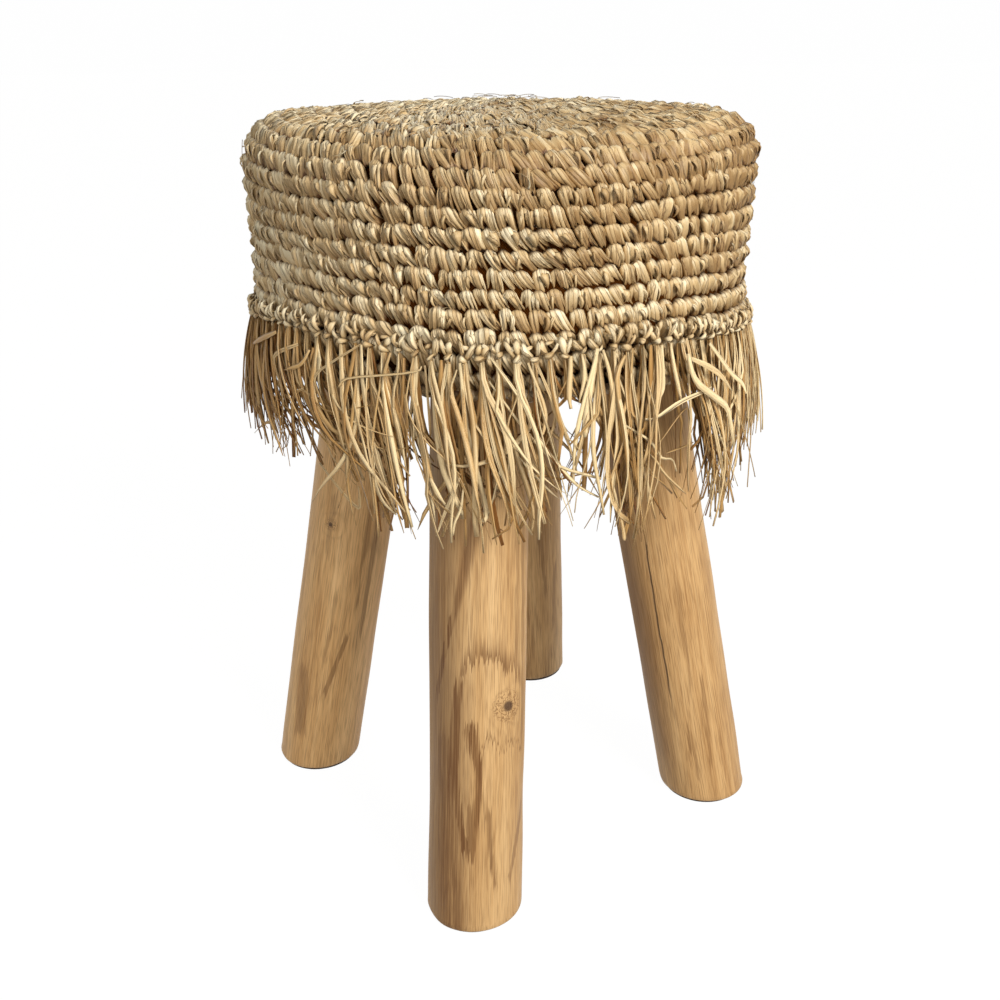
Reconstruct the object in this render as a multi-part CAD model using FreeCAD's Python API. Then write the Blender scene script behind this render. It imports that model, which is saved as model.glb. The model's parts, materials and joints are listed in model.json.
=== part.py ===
"""Fringed raffia stool: four splayed teak legs, a plywood drum frame, padding and a crocheted raffia cover.

Millimetres, +Z up. The origin is on the floor, midway between the four feet. The front leg stands towards -Y.
"""

import FreeCAD, Part
import math
import os

Vector = FreeCAD.Vector
Z_AXIS = Vector(0, 0, 1)
X_AXIS = Vector(1, 0, 0)
ORIGIN = Vector(0, 0, 0)
FULL_TURN = 360.0
QUARTER_TURN = 90.0
HALF_QUARTER = 45.0

# Overall seat
seat_height = 460.0  # floor to the crown of the seat
seat_radius = 150.0  # outside of the crocheted wall
drum_depth = 140.0  # crown of the seat to the turned-under edge
crown_rise = 8.0  # how far the middle of the seat stands above its shoulder
shoulder_radius = 27.0  # rounding from the seat's top into its wall
hem_corner_radius = 8.0  # rounding from the wall to the turned-under edge
hem_return = 22.0  # width of cover turned in under the base board

# Layers of the cover, from the outside in
raffia_thickness = 4.5
rib_depth = 1.6  # groove between two crocheted rounds
lining_thickness = 0.8
lining_return_shortfall = 3.0  # the lining's turned-under edge stops this much earlier
wadding_thickness = 4.0
layer_gap = 0.3  # clearance between two soft layers
fit_gap = 0.2  # clearance between fitted wooden pieces

# Crocheted rounds, counted on each stretch of the cover
top_round_count = 16
wall_round_count = 8
hem_round_count = 5
fringe_line_height = 24.0  # fringe round above the turned-under edge

# Fringe
tassel_count = 112
knot_radius = 3.0
knot_depth = 4.2
knot_round = 1.2
knot_clearance = 0.1  # from the cover's ribs, and from a knot to its strands
strand_width = 2.6
strand_thickness = 0.6
strand_length = 82.0
strand_length_spread = 14.0
strand_bow = 3.5  # how far the longest strand stands out at its middle
strand_flare = 2.5  # how far its tip stands out
strand_layer_step = 1.7
strand_layer_count = 3
strand_start = 0.4  # innermost layer from the cover
strand_fan = 2.0  # sideways step between the strands of a tassel
strand_splay = 8.0  # degrees, the largest lean to either side
splay_wave_counts = (5, 4, 3)  # leans per turn of the seat, one for each layer
length_wave_counts = (23, 31, 17)  # long and short stretches per turn, one for each layer

# Drum frame
base_board_thickness = 18.0
top_board_thickness = 15.0
foam_thickness = 40.0  # at the middle of the pad
panel_thickness = 3.0
panel_seam = 0.6
post_width = 34.0  # along the wall
post_depth = 24.0  # towards the middle

# Legs
leg_foot_radius = 28.75
leg_top_radius = 27.5
leg_rim_distance = 57.0  # from the base board's rim to a leg's axis, at the board's underside
leg_splay = 10.8  # degrees from upright
foot_edge_round = 1.5
bore_clearance = 0.4

# Foot pads and their nails
pad_radius = 26.5
pad_thickness = 2.0
nail_radius = 1.0
nail_length = 16.0
nail_head_radius = 3.0
nail_head_height = 0.7
nail_head_recess = 0.5  # the head lies this deep in the felt

# Screws, pins and staples
leg_screw_radius = 2.5
leg_screw_head_radius = 5.0
leg_screw_length = 60.0
leg_screw_spacing = 26.0
post_screw_radius = 2.0
post_screw_head_radius = 4.0
post_screw_length = 40.0
post_screw_offset = 8.0  # sideways from the middle of the post
screw_tip_length = 6.0
screw_clearance = 0.1
pin_radius = 0.8
pin_length = 16.0
pin_sink = 0.2  # below the panel's face
pin_edge_distance = 8.0  # from the panel's top or bottom edge
edge_pin_count = 4
pin_span = 66.0  # degrees of a panel that its pins cover
staple_count = 24
staple_edge_distance = 10.5  # from the cover's turned-in edge
staple_crown = 10.0
staple_leg = 9.0
staple_wire = 0.9
staple_sink = 0.9  # the crown's outer face above the lowest point of the hem
staple_turn = 3.5  # degrees, so that no staple meets a post screw

cut_overrun = 5.0
shortest_edge = 0.01  # a shorter stretch is left out of an outline

# Places that follow from the sizes above
wall_top = seat_height - crown_rise - shoulder_radius
hem_bottom = seat_height - drum_depth
wall_bottom = hem_bottom + hem_corner_radius
fringe_line = hem_bottom + fringe_line_height
shoulder_centre_radius = seat_radius - shoulder_radius
corner_centre_radius = seat_radius - hem_corner_radius
crown_centre_drop = (shoulder_centre_radius**2 - crown_rise**2) / (2 * crown_rise)
crown_radius = shoulder_radius + crown_rise + crown_centre_drop
crown_centre_height = seat_height - crown_radius
crown_angle = math.atan2(shoulder_centre_radius, crown_centre_drop)

lining_inset = raffia_thickness + layer_gap
lining_inner_inset = lining_inset + lining_thickness
pad_inset = lining_inner_inset + layer_gap
panel_outer_radius = seat_radius - pad_inset - wadding_thickness - fit_gap
panel_inner_radius = panel_outer_radius - panel_thickness
board_radius = panel_inner_radius - fit_gap
base_board_bottom = hem_bottom + pad_inset
base_board_top = base_board_bottom + base_board_thickness
top_board_top = seat_height - pad_inset - foam_thickness
top_board_bottom = top_board_top - top_board_thickness
leg_lean = math.tan(math.radians(leg_splay))
foot_circle_radius = board_radius - leg_rim_distance + (base_board_bottom - pad_thickness) * leg_lean
leg_head_radius = foot_circle_radius - (top_board_bottom - pad_thickness) * leg_lean

SIDES = {"front": -90.0, "right": 0.0, "back": 90.0, "left": 180.0}
CORNERS = {"front_right": -45.0, "back_right": 45.0, "back_left": 135.0, "front_left": -135.0}


def export(name, *solids):
    """Writes one node from its solids."""
    shape = solids[0] if len(solids) == 1 else Part.makeCompound(list(solids))
    shape.exportStep("parts/%s.step" % name)


def turned(shape, degrees):
    """A copy of shape, turned about the stool's upright axis."""
    copy = shape.copy()
    copy.rotate(ORIGIN, Z_AXIS, degrees)
    return copy


def moved(shape, place):
    """A copy of shape, moved by the vector place."""
    copy = shape.copy()
    copy.translate(place)
    return copy


def revolved(edges, angle=FULL_TURN):
    """The solid that a closed outline in the XZ plane sweeps about the upright axis."""
    return Part.Face(Part.Wire(edges)).revolve(ORIGIN, Z_AXIS, angle)


def outline(points):
    """Straight edges round a closed list of (radius, height) points."""
    corners = [Vector(radius, 0, height) for radius, height in points]
    return Part.makePolygon(corners + corners[:1]).Edges


# The cover's line: crown, shoulder, wall, corner and turned-under edge, measured along its outside.


class Arc:
    """A round stretch of the cover's line, from one angle to another, measured from straight up."""

    def __init__(self, centre_radius, centre_height, radius, start, end):
        self.centre = Vector(centre_radius, 0, centre_height)
        self.radius, self.start = radius, start
        self.length = radius * (end - start)

    def at(self, distance, inset):
        angle = self.start + distance / self.radius
        return self.centre + Vector(math.sin(angle), 0, math.cos(angle)) * (self.radius - inset)

    def edge(self, first, last, inset):
        middle = (first + last) / 2
        return Part.Arc(self.at(first, inset), self.at(middle, inset), self.at(last, inset)).toShape()


class Run:
    """A straight stretch of the cover's line. Its outside faces along outward."""

    def __init__(self, start, direction, outward, length):
        self.start, self.direction, self.outward, self.length = start, direction, outward, length

    def at(self, distance, inset):
        return self.start + self.direction * distance - self.outward * inset

    def edge(self, first, last, inset):
        return Part.LineSegment(self.at(first, inset), self.at(last, inset)).toShape()


def cover_stretches():
    """The cover's line in order, from the middle of the seat to the end of the turned-under edge."""
    right_angle = math.pi / 2
    crown = Arc(0, crown_centre_height, crown_radius, 0, crown_angle)
    shoulder = Arc(shoulder_centre_radius, wall_top, shoulder_radius, crown_angle, right_angle)
    wall = Run(Vector(seat_radius, 0, wall_top), -Z_AXIS, X_AXIS, wall_top - wall_bottom)
    corner = Arc(corner_centre_radius, wall_bottom, hem_corner_radius, right_angle, math.pi)
    under = Run(Vector(corner_centre_radius, 0, hem_bottom), -X_AXIS, -Z_AXIS, hem_return)
    return [crown, shoulder, wall, corner, under]


STRETCHES = cover_stretches()
shoulder_end = STRETCHES[0].length + STRETCHES[1].length
fringe_distance = shoulder_end + wall_top - fringe_line
cover_end = sum(stretch.length for stretch in STRETCHES)


def cover_point(distance, inset):
    """The point at a distance along the cover's line, set in from the outside."""
    for stretch in STRETCHES[:-1]:
        if distance <= stretch.length:
            return stretch.at(distance, inset)
        distance -= stretch.length
    return STRETCHES[-1].at(distance, inset)


def smooth_edges(first, last, inset):
    """Edges along the cover's line between two distances."""
    edges, passed = [], 0.0
    for stretch in STRETCHES:
        start = max(first - passed, 0.0)
        end = min(last - passed, stretch.length)
        if end - start > shortest_edge:
            edges.append(stretch.edge(start, end, inset))
        passed += stretch.length
    return edges


def ribbed_edges(first, last, rounds):
    """One bulging edge for each crocheted round between two distances."""
    step = (last - first) / rounds
    grooves = [cover_point(first + step * k, rib_depth) for k in range(rounds + 1)]
    crests = [cover_point(first + step * (k + 0.5), 0) for k in range(rounds)]
    return [Part.Arc(grooves[k], crests[k], grooves[k + 1]).toShape() for k in range(rounds)]


def closed_layer(outer, inner, first, last, outer_inset, inner_inset):
    """The ring between an outer and an inner row of edges, closed at both ends."""
    ends = []
    for distance in (first, last):
        a, b = cover_point(distance, outer_inset), cover_point(distance, inner_inset)
        ends.append(Part.LineSegment(a, b).toShape())
    return revolved(Part.sortEdges(outer + inner + ends)[0])


def crochet(first, last, rounds):
    """A stretch of the crocheted cover."""
    inner = smooth_edges(first, last, raffia_thickness)
    outer = ribbed_edges(first, last, rounds)
    return closed_layer(outer, inner, first, last, rib_depth, raffia_thickness)


def lining():
    """The cotton lining under the whole crocheted cover."""
    last = cover_end - lining_return_shortfall
    outer = smooth_edges(0, last, lining_inset)
    inner = smooth_edges(0, last, lining_inner_inset)
    return closed_layer(outer, inner, 0, last, lining_inset, lining_inner_inset)


def foam_pad():
    """The crowned foam pad on the top board."""
    rounded = smooth_edges(0, shoulder_end, pad_inset)
    top, rim = cover_point(0, pad_inset), cover_point(shoulder_end, pad_inset)
    corner, middle = Vector(rim.x, 0, top_board_top), Vector(0, 0, top_board_top)
    sides = [Part.LineSegment(a, b).toShape() for a, b in ((rim, corner), (corner, middle), (middle, top))]
    return revolved(Part.sortEdges(rounded + sides)[0])


def wadding():
    """The wadding wrapped round the drum's wall."""
    outer, inner = seat_radius - pad_inset, panel_outer_radius + fit_gap
    low, high = wall_bottom, top_board_top - layer_gap
    return revolved(outline([(inner, low), (outer, low), (outer, high), (inner, high)]))


# Fasteners, each modelled head up with the head's face at height zero.


def screw(radius, head_radius, length, growth=0.0):
    """A countersunk wood screw. growth widens it, for the hole that it sits in."""
    shank, head = radius + growth, head_radius + growth
    depth = head_radius - radius
    profile = [(0, 0), (head, 0), (shank, -depth), (shank, screw_tip_length - length), (0, -length - growth)]
    return revolved(outline(profile))


def nail(growth=0.0):
    """A foot pad's nail, head down, with its point up."""
    shank, head = nail_radius + growth, nail_head_radius + growth
    body = Part.makeCylinder(shank, nail_length + growth, Vector(0, 0, nail_head_recess))
    low = nail_head_recess - cut_overrun if growth else nail_head_recess
    high = nail_head_recess + nail_head_height + growth
    return body.fuse(Part.makeCylinder(head, high - low, Vector(0, 0, low)))


def staple(growth=0.0):
    """A U-shaped staple along X, crown down at height zero, legs up."""
    wide = staple_wire + growth * 2
    low = -cut_overrun if growth else 0
    crown = Part.makeBox(staple_crown + growth * 2, wide, staple_wire + growth - low)
    crown.translate(Vector(-staple_crown / 2 - growth, -wide / 2, low))
    shape = crown
    for start in (-staple_crown / 2, staple_crown / 2 - staple_wire):
        leg = Part.makeBox(wide, wide, staple_leg + growth)
        leg.translate(Vector(start - growth, -wide / 2, 0))
        shape = shape.fuse(leg)
    return shape.removeSplitter()


def leg_screw_places():
    """Where the leg screws' heads are, for the leg that leans in from +X."""
    return [Vector(leg_head_radius, side * leg_screw_spacing / 2, top_board_top) for side in (-1, 1)]


def leg_screws(growth=0.0):
    """All leg screws, two for each leg."""
    one = screw(leg_screw_radius, leg_screw_head_radius, leg_screw_length, growth)
    return [turned(moved(one, place), turn) for turn in SIDES.values() for place in leg_screw_places()]


def post_middle_radius():
    """How far the middle of a post is from the stool's axis."""
    return math.sqrt(board_radius**2 - (post_width / 2) ** 2) - fit_gap - post_depth / 2


def post_screws(growth=0.0):
    """One screw down and one up into each post."""
    one = screw(post_screw_radius, post_screw_head_radius, post_screw_length, growth)
    down = moved(one, Vector(post_middle_radius(), post_screw_offset, top_board_top))
    flipped = one.copy()
    flipped.rotate(ORIGIN, X_AXIS, FULL_TURN / 2)
    up = moved(flipped, Vector(post_middle_radius(), -post_screw_offset, base_board_bottom))
    return [turned(each, turn) for turn in CORNERS.values() for each in (down, up)]


def panel_pins(growth=0.0):
    """The pins that hold each panel to the rims of both boards."""
    start = panel_outer_radius - pin_sink + (cut_overrun if growth else 0)
    length = start - panel_outer_radius + pin_sink + pin_length + growth
    step = pin_span / (edge_pin_count - 1)
    pins = []
    for height in (base_board_bottom + pin_edge_distance, top_board_top - pin_edge_distance):
        pin = Part.makeCylinder(pin_radius + growth, length, Vector(start, 0, height), -X_AXIS)
        for side in SIDES.values():
            pins += [turned(pin, side - pin_span / 2 + step * k) for k in range(edge_pin_count)]
    return pins


def staples(growth=0.0):
    """The staples round the turned-under edge."""
    line = corner_centre_radius - hem_return + staple_edge_distance
    one = staple(growth)
    one.rotate(ORIGIN, Z_AXIS, QUARTER_TURN)
    one.translate(Vector(line, 0, hem_bottom + staple_sink))
    return [turned(one, staple_turn + FULL_TURN * k / staple_count) for k in range(staple_count)]


def nails(growth=0.0):
    """One nail through each foot pad."""
    one = moved(nail(growth), Vector(foot_circle_radius, 0, 0))
    return {side: turned(one, turn) for side, turn in SIDES.items()}


# Wooden pieces


def leg_cone(growth=0.0):
    """The leg that leans in from +X, longer than needed at both ends."""
    rise = top_board_bottom - pad_thickness
    extra = leg_foot_radius * leg_lean + cut_overrun
    taper = (leg_top_radius - leg_foot_radius) / rise
    cosine = math.cos(math.radians(leg_splay))
    low_radius = leg_foot_radius - taper * extra + growth
    high_radius = leg_top_radius + taper * extra + growth
    foot = Vector(foot_circle_radius + extra * leg_lean, 0, pad_thickness - extra)
    upward = Vector(-leg_lean * cosine, 0, cosine)
    return Part.makeCone(low_radius, high_radius, (rise + extra * 2) / cosine, foot, upward)


def leg():
    """A leg cut level at the foot and at the top board, with its foot's edge rounded."""
    reach = seat_radius + foot_circle_radius
    slab = Part.makeCylinder(reach, top_board_bottom - pad_thickness, Vector(0, 0, pad_thickness))
    shape = leg_cone().common(slab)
    sole = [edge for edge in shape.Edges if edge.BoundBox.ZMax < pad_thickness + foot_edge_round]
    return shape.makeFillet(foot_edge_round, sole)


def board(bottom, thickness):
    """A round plywood board."""
    return Part.makeCylinder(board_radius, thickness, Vector(0, 0, bottom))


def panel():
    """The bent plywood panel that faces +X."""
    seam_angle = math.degrees(panel_seam / panel_inner_radius)
    low, high = base_board_bottom, top_board_top
    inner, outer = panel_inner_radius, panel_outer_radius
    section = outline([(inner, low), (outer, low), (outer, high), (inner, high)])
    return turned(revolved(section, QUARTER_TURN - seam_angle), -HALF_QUARTER + seam_angle / 2)


def post():
    """The post on +X, between the two boards."""
    height = top_board_bottom - base_board_top
    corner = Vector(post_middle_radius() - post_depth / 2, -post_width / 2, base_board_top)
    return Part.makeBox(post_depth, post_width, height, corner)


# Fringe


def knot():
    """A tassel's knot on the cover's wall at +X."""
    back = Vector(seat_radius + knot_clearance, 0, fringe_line)
    bead = Part.makeCylinder(knot_radius, knot_depth, back, X_AXIS)
    front = [edge for edge in bead.Edges if edge.BoundBox.XMin > back.x + knot_depth - knot_round]
    return bead.makeFillet(knot_round, front)


def strand_reach(drop):
    """How far any strand stands out, a given drop below its knot."""
    share = drop / (strand_length + strand_length_spread)
    return strand_flare * share + strand_bow * 4 * share * (1 - share)


def strand(length, layer, lean):
    """One strip of raffia below the knot at +X, leaning sideways by lean degrees."""
    root = seat_radius + strand_start + strand_layer_step * layer
    top = fringe_line - knot_radius - knot_clearance
    near = [Vector(root + strand_reach(drop), 0, top - drop) for drop in (0, length / 2, length)]
    far = [point + X_AXIS * strand_thickness for point in near]
    edges = [Part.Arc(*near).toShape(), Part.Arc(*far).toShape()]
    edges += [Part.LineSegment(near[k], far[k]).toShape() for k in (0, -1)]
    shape = Part.Face(Part.Wire(Part.sortEdges(edges)[0])).extrude(Vector(0, strand_width, 0))
    shape.translate(Vector(0, -strand_width / 2, 0))
    shape.rotate(Vector(root, 0, top), X_AXIS, lean)
    drop = max(shape.BoundBox.ZMax - top, 0)
    shape.translate(Vector(0, (layer - (strand_layer_count - 1) / 2) * strand_fan, -drop))
    return shape


def tassel_strands(index):
    """The strands of one tassel. Their length and lean change along the fringe."""
    turn = math.tau * index / tassel_count
    strands = []
    for layer in range(strand_layer_count):
        lean = strand_splay * math.sin(splay_wave_counts[layer] * turn + layer)
        length = strand_length + strand_length_spread * math.sin(length_wave_counts[layer] * turn + layer)
        strands.append(strand(length, layer, lean))
    return strands


def tassel_turn(index):
    """Where a tassel hangs, in degrees. They are counted round from -45 degrees."""
    return -HALF_QUARTER + FULL_TURN / tassel_count * (index + 0.5)


def fringe(first, last):
    """The strands of the tassels from first up to last."""
    tassels = range(first, last)
    return [turned(each, tassel_turn(k)) for k in tassels for each in tassel_strands(k)]


def build():
    """Makes every node and writes it."""
    os.makedirs("parts", exist_ok=True)

    leg_screw_holes = Part.makeCompound(leg_screws(screw_clearance))
    post_screw_holes = Part.makeCompound(post_screws(screw_clearance))
    pin_holes = Part.makeCompound(panel_pins(screw_clearance))
    staple_holes = Part.makeCompound(staples(screw_clearance))
    nail_holes = nails(screw_clearance)
    bores = Part.makeCompound([turned(leg_cone(bore_clearance), turn) for turn in SIDES.values()])

    for side, turn in SIDES.items():
        bare_leg = turned(leg(), turn)
        export("leg_" + side, bare_leg.cut(leg_screw_holes).cut(nail_holes[side]))
        pad = turned(Part.makeCylinder(pad_radius, pad_thickness, Vector(foot_circle_radius, 0, 0)), turn)
        export("foot_pad_" + side, pad.cut(nail_holes[side]))
        export("wall_panel_" + side, turned(panel(), turn).cut(pin_holes))
    export("foot_pad_nails", *nails().values())

    base_board = board(base_board_bottom, base_board_thickness).cut(bores)
    export("base_board", base_board.cut(post_screw_holes).cut(pin_holes).cut(staple_holes))
    top_board = board(top_board_bottom, top_board_thickness)
    export("top_board", top_board.cut(leg_screw_holes).cut(post_screw_holes).cut(pin_holes))
    for corner, turn in CORNERS.items():
        export("post_" + corner, turned(post(), turn).cut(post_screw_holes))
    export("leg_screws", *leg_screws())
    export("post_screws", *post_screws())
    export("panel_pins", *panel_pins())
    export("hem_staples", *staples())

    export("foam_pad", foam_pad())
    export("wadding_wrap", wadding())
    export("cotton_lining", lining().cut(staple_holes))
    export("crochet_top", crochet(0, shoulder_end, top_round_count))
    export("crochet_wall", crochet(shoulder_end, fringe_distance, wall_round_count))
    export("crochet_hem", crochet(fringe_distance, cover_end, hem_round_count).cut(staple_holes))

    export("fringe_knots", *[turned(knot(), tassel_turn(k)) for k in range(tassel_count)])
    starts = [tassel_count * quarter // 4 for quarter in range(5)]
    for quarter, side in enumerate(("right", "back", "left", "front")):
        export("fringe_" + side, *fringe(starts[quarter], starts[quarter + 1]))


build()
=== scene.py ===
"""Dresses the fringed raffia stool: crocheted cover, knots, fringe, natural teak legs and what shows below.

Metres, +Z up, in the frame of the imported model: the origin is on the floor midway between the feet, and the
front leg stands towards -Y.
"""

import json
import logging
import math
import random
from dataclasses import dataclass
from enum import Enum
from typing import Callable, Iterator, Sequence

import bmesh
import bpy
import numpy as np
from mathutils import Matrix, Vector, noise

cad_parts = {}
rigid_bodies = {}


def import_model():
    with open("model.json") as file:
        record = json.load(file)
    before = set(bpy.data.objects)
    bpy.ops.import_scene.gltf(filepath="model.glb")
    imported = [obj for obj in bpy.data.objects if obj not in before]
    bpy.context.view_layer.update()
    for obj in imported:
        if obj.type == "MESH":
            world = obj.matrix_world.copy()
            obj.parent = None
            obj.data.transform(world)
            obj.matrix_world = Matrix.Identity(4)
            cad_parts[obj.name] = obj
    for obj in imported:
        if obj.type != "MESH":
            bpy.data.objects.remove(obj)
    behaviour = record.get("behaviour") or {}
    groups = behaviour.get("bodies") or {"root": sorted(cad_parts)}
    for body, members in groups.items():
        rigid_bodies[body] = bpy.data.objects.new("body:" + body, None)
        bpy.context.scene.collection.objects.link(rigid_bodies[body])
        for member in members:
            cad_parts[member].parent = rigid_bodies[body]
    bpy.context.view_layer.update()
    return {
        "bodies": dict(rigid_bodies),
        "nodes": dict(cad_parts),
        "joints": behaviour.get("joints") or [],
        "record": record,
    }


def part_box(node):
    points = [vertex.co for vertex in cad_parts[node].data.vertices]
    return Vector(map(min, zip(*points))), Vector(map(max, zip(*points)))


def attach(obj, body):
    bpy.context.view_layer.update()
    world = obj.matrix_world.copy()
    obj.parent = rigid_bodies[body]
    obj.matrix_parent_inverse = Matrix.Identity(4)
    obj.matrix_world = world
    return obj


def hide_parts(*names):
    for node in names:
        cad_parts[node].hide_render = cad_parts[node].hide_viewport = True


MM = 0.001
BODY = "root"
STRIP_MAP = "strip"
SHADE = "shade"
STEM = "stem"
SEED = 41
LEG_LEAN = math.radians(10.8)
FOOT_RADIUS = 28.75 * MM
LEG_TOP_RADIUS = 27.5 * MM
SAME_PLACE = 1e-6

log = logging.getLogger("stool")

Colour = tuple[float, float, float, float]
Scale = tuple[float, float, float]
Spread = tuple[float, float]
Size = float | Spread
Table = tuple[Spread, ...]
Socket = bpy.types.NodeSocket
Object = bpy.types.Object
Material = bpy.types.Material
Mesh = bpy.types.Mesh
BMesh = bmesh.types.BMesh
Bend = Callable[[Vector], Vector]


def srgb(red: float, green: float, blue: float) -> Colour:
    """Turns a colour as a screen shows it, 0 to 255, into the linear values that shaders take."""
    linear = [(value / 255) ** 2.2 for value in (red, green, blue)]
    return (linear[0], linear[1], linear[2], 1.0)


class Side(Enum):
    """A side of the stool. Its value is the direction that its leg points in, in degrees."""

    FRONT = -90.0
    RIGHT = 0.0
    BACK = 90.0
    LEFT = 180.0

    @property
    def word(self) -> str:
        """The side's name as node names have it."""
        return self.name.lower()


class Chance(random.Random):
    """The dice that every hand-made bit is varied with."""

    def vary(self, middle: float, spread: float) -> float:
        """A size with a chance spread to either side."""
        return middle + self.uniform(-spread, spread)

    def pick(self, size: Size) -> float:
        """A size that is fixed, or drawn from a middle and its spread."""
        return self.vary(*size) if isinstance(size, tuple) else size


class NodeGraph:
    """A tree of shader nodes, with short calls for what the finishes and the studio share."""

    def __init__(self, tree: bpy.types.NodeTree) -> None:
        """Starts with the tree emptied."""
        self.tree = tree
        tree.nodes.clear()

    def feed(self, socket: Socket, value: object) -> None:
        """Gives a socket its input.

        Args:
            socket: The socket.
            value: Another socket to link it to, or a value of its own.
        """
        if isinstance(value, Socket):
            self.tree.links.new(value, socket)
        else:
            socket.default_value = value

    def result(
        self, kind: str, inputs: dict[int | str, object], output: int | str = 0, **settings: object
    ) -> Socket:
        """Adds a node and feeds it.

        Args:
            kind: Its type.
            inputs: What goes into its sockets, by their names or numbers.
            output: Which of its outputs is wanted.
            settings: The properties to set on it.

        Returns:
            That output.
        """
        node = self.tree.nodes.new(kind)
        for key, value in settings.items():
            setattr(node, key, value)
        for key, value in inputs.items():
            self.feed(node.inputs[key], value)
        return node.outputs[output]

    def math(self, operation: str, *values: object) -> Socket:
        """One sum on one to three values."""
        return self.result("ShaderNodeMath", dict(enumerate(values)), operation=operation)

    def product(self, *factors: object) -> Socket:
        """Multiplies values.

        Args:
            factors: Two or more of them.

        Returns:
            Their product.
        """
        running = factors[0]
        for factor in factors[1:]:
            running = self.math("MULTIPLY", running, factor)
        return running

    def total(self, *parts: tuple[object, float]) -> Socket:
        """A weighted sum.

        Args:
            parts: Pairs of a value and its weight.

        Returns:
            The sum of every value times its weight.
        """
        running: object = 0.0
        for value, weight in parts:
            running = self.math("MULTIPLY_ADD", value, weight, running)
        return running

    def apart(self, value: object, middle: float) -> Socket:
        """How far a value is from a number, either way."""
        return self.math("ABSOLUTE", self.math("SUBTRACT", value, middle))

    def white_view(self) -> Socket:
        """Tells the rays that see the white studio from those that only light it.

        Returns:
            1 for camera, glossy and transmission rays, and 0 for the rest.
        """
        rays = self.result("ShaderNodeLightPath", {}).node.outputs
        seen = self.math("MAXIMUM", rays["Is Camera Ray"], rays["Is Glossy Ray"])
        return self.math("MAXIMUM", seen, rays["Is Transmission Ray"])


class ShaderGraph(NodeGraph):
    """A material and its nodes."""

    def __init__(self, name: str) -> None:
        """Starts a material that holds one Principled shader.

        Args:
            name: The material's name.
        """
        self.material = bpy.data.materials.new(name)
        self.material.use_nodes = True
        super().__init__(self.material.node_tree)
        self.shader = self.tree.nodes.new("ShaderNodeBsdfPrincipled")
        self.surface = self.tree.nodes.new("ShaderNodeOutputMaterial").inputs["Surface"]
        self.feed(self.surface, self.shader.outputs["BSDF"])

    def coordinates(self) -> Socket:
        """The piece's own coordinates."""
        return self.result("ShaderNodeTexCoord", {}, "Object")

    def strip_map(self) -> Socket:
        """The map that runs across and along a strip of raffia."""
        return self.result("ShaderNodeUVMap", {}, uv_map=STRIP_MAP)

    def attribute(self, name: str, output: str = "Fac") -> Socket:
        """A value or vector that the mesh carries."""
        return self.result("ShaderNodeAttribute", {}, output, attribute_name=name)

    def split(self, vector: Socket) -> tuple[Socket, ...]:
        """The three numbers of a vector."""
        return tuple(self.result("ShaderNodeSeparateXYZ", {0: vector}).node.outputs)

    def join(self, x: object, y: object, z: object = 0.0) -> Socket:
        """A vector from three numbers."""
        return self.result("ShaderNodeCombineXYZ", {0: x, 1: y, 2: z})

    def distance(self, vector: object, place: Sequence[float]) -> Socket:
        """How far a vector is from a place."""
        return self.result("ShaderNodeVectorMath", {0: vector, 1: place}, "Value", operation="DISTANCE")

    def mapped(self, vector: object, scale: Sequence[float], shift: Sequence[float] = (0, 0, 0)) -> Socket:
        """A vector scaled along each axis, then shifted."""
        return self.result("ShaderNodeMapping", {"Vector": vector, "Scale": scale, "Location": shift})

    def noise(self, vector: object, detail: float = 2.0, roughness: float = 0.5) -> Socket:
        """A noise pattern from 0 to 1, one unit to a wave."""
        inputs = {"Vector": vector, "Scale": 1.0, "Detail": detail, "Roughness": roughness}
        return self.result("ShaderNodeTexNoise", inputs)

    def smooth(self, value: object, low: float, high: float) -> Socket:
        """A smooth step.

        Args:
            value: The value to read.
            low: Where the step is 0.
            high: Where it is 1, which may be below.

        Returns:
            The step, 0 to 1.
        """
        ends = (low, high, 0.0, 1.0) if low < high else (high, low, 1.0, 0.0)
        inputs = dict(enumerate((value, *ends)))
        return self.result("ShaderNodeMapRange", inputs, interpolation_type="SMOOTHSTEP")

    def ramp(self, factor: object, stops: Sequence[tuple[float, Colour]]) -> Socket:
        """Colours along a factor.

        Args:
            factor: The value to read, 0 to 1.
            stops: Pairs of a place and its colour, in order.

        Returns:
            The colour.
        """
        colour = self.result("ShaderNodeValToRGB", {0: factor})
        elements = colour.node.color_ramp.elements
        while len(elements) < len(stops):
            elements.new(0.5)
        for element, (place, shade) in zip(elements, stops):
            element.position = place
            element.color = shade
        return colour

    def curve(self, factor: object, points: Sequence[tuple[float, float]]) -> Socket:
        """A smooth curve.

        Args:
            factor: The value to read, 0 to 1.
            points: Places and values that the curve runs through, in order, 0 to 1.

        Returns:
            The curve's value.
        """
        value = self.result("ShaderNodeFloatCurve", {"Value": factor})
        line = value.node.mapping.curves[0]
        line.points[0].location, line.points[-1].location = points[0], points[-1]
        for place, height in points[1:-1]:
            line.points.new(place, height)
        value.node.mapping.update()
        return value

    def mix(self, factor: object, first: object, second: object) -> Socket:
        """Two colours mixed by a factor."""
        return self.result("ShaderNodeMix", {0: factor, 6: first, 7: second}, 2, data_type="RGBA")

    def bump(self, height: object, distance: float) -> None:
        """Gives the shader a relief, with its full height in metres."""
        relief = self.result("ShaderNodeBump", {"Strength": 1.0, "Distance": distance, "Height": height})
        self.set(Normal=relief)

    def set(self, **values: object) -> None:
        """Sets or links sockets of the shader, named with underscores for spaces."""
        for key, value in values.items():
            self.feed(self.shader.inputs[key.replace("_", " ")], value)


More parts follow.
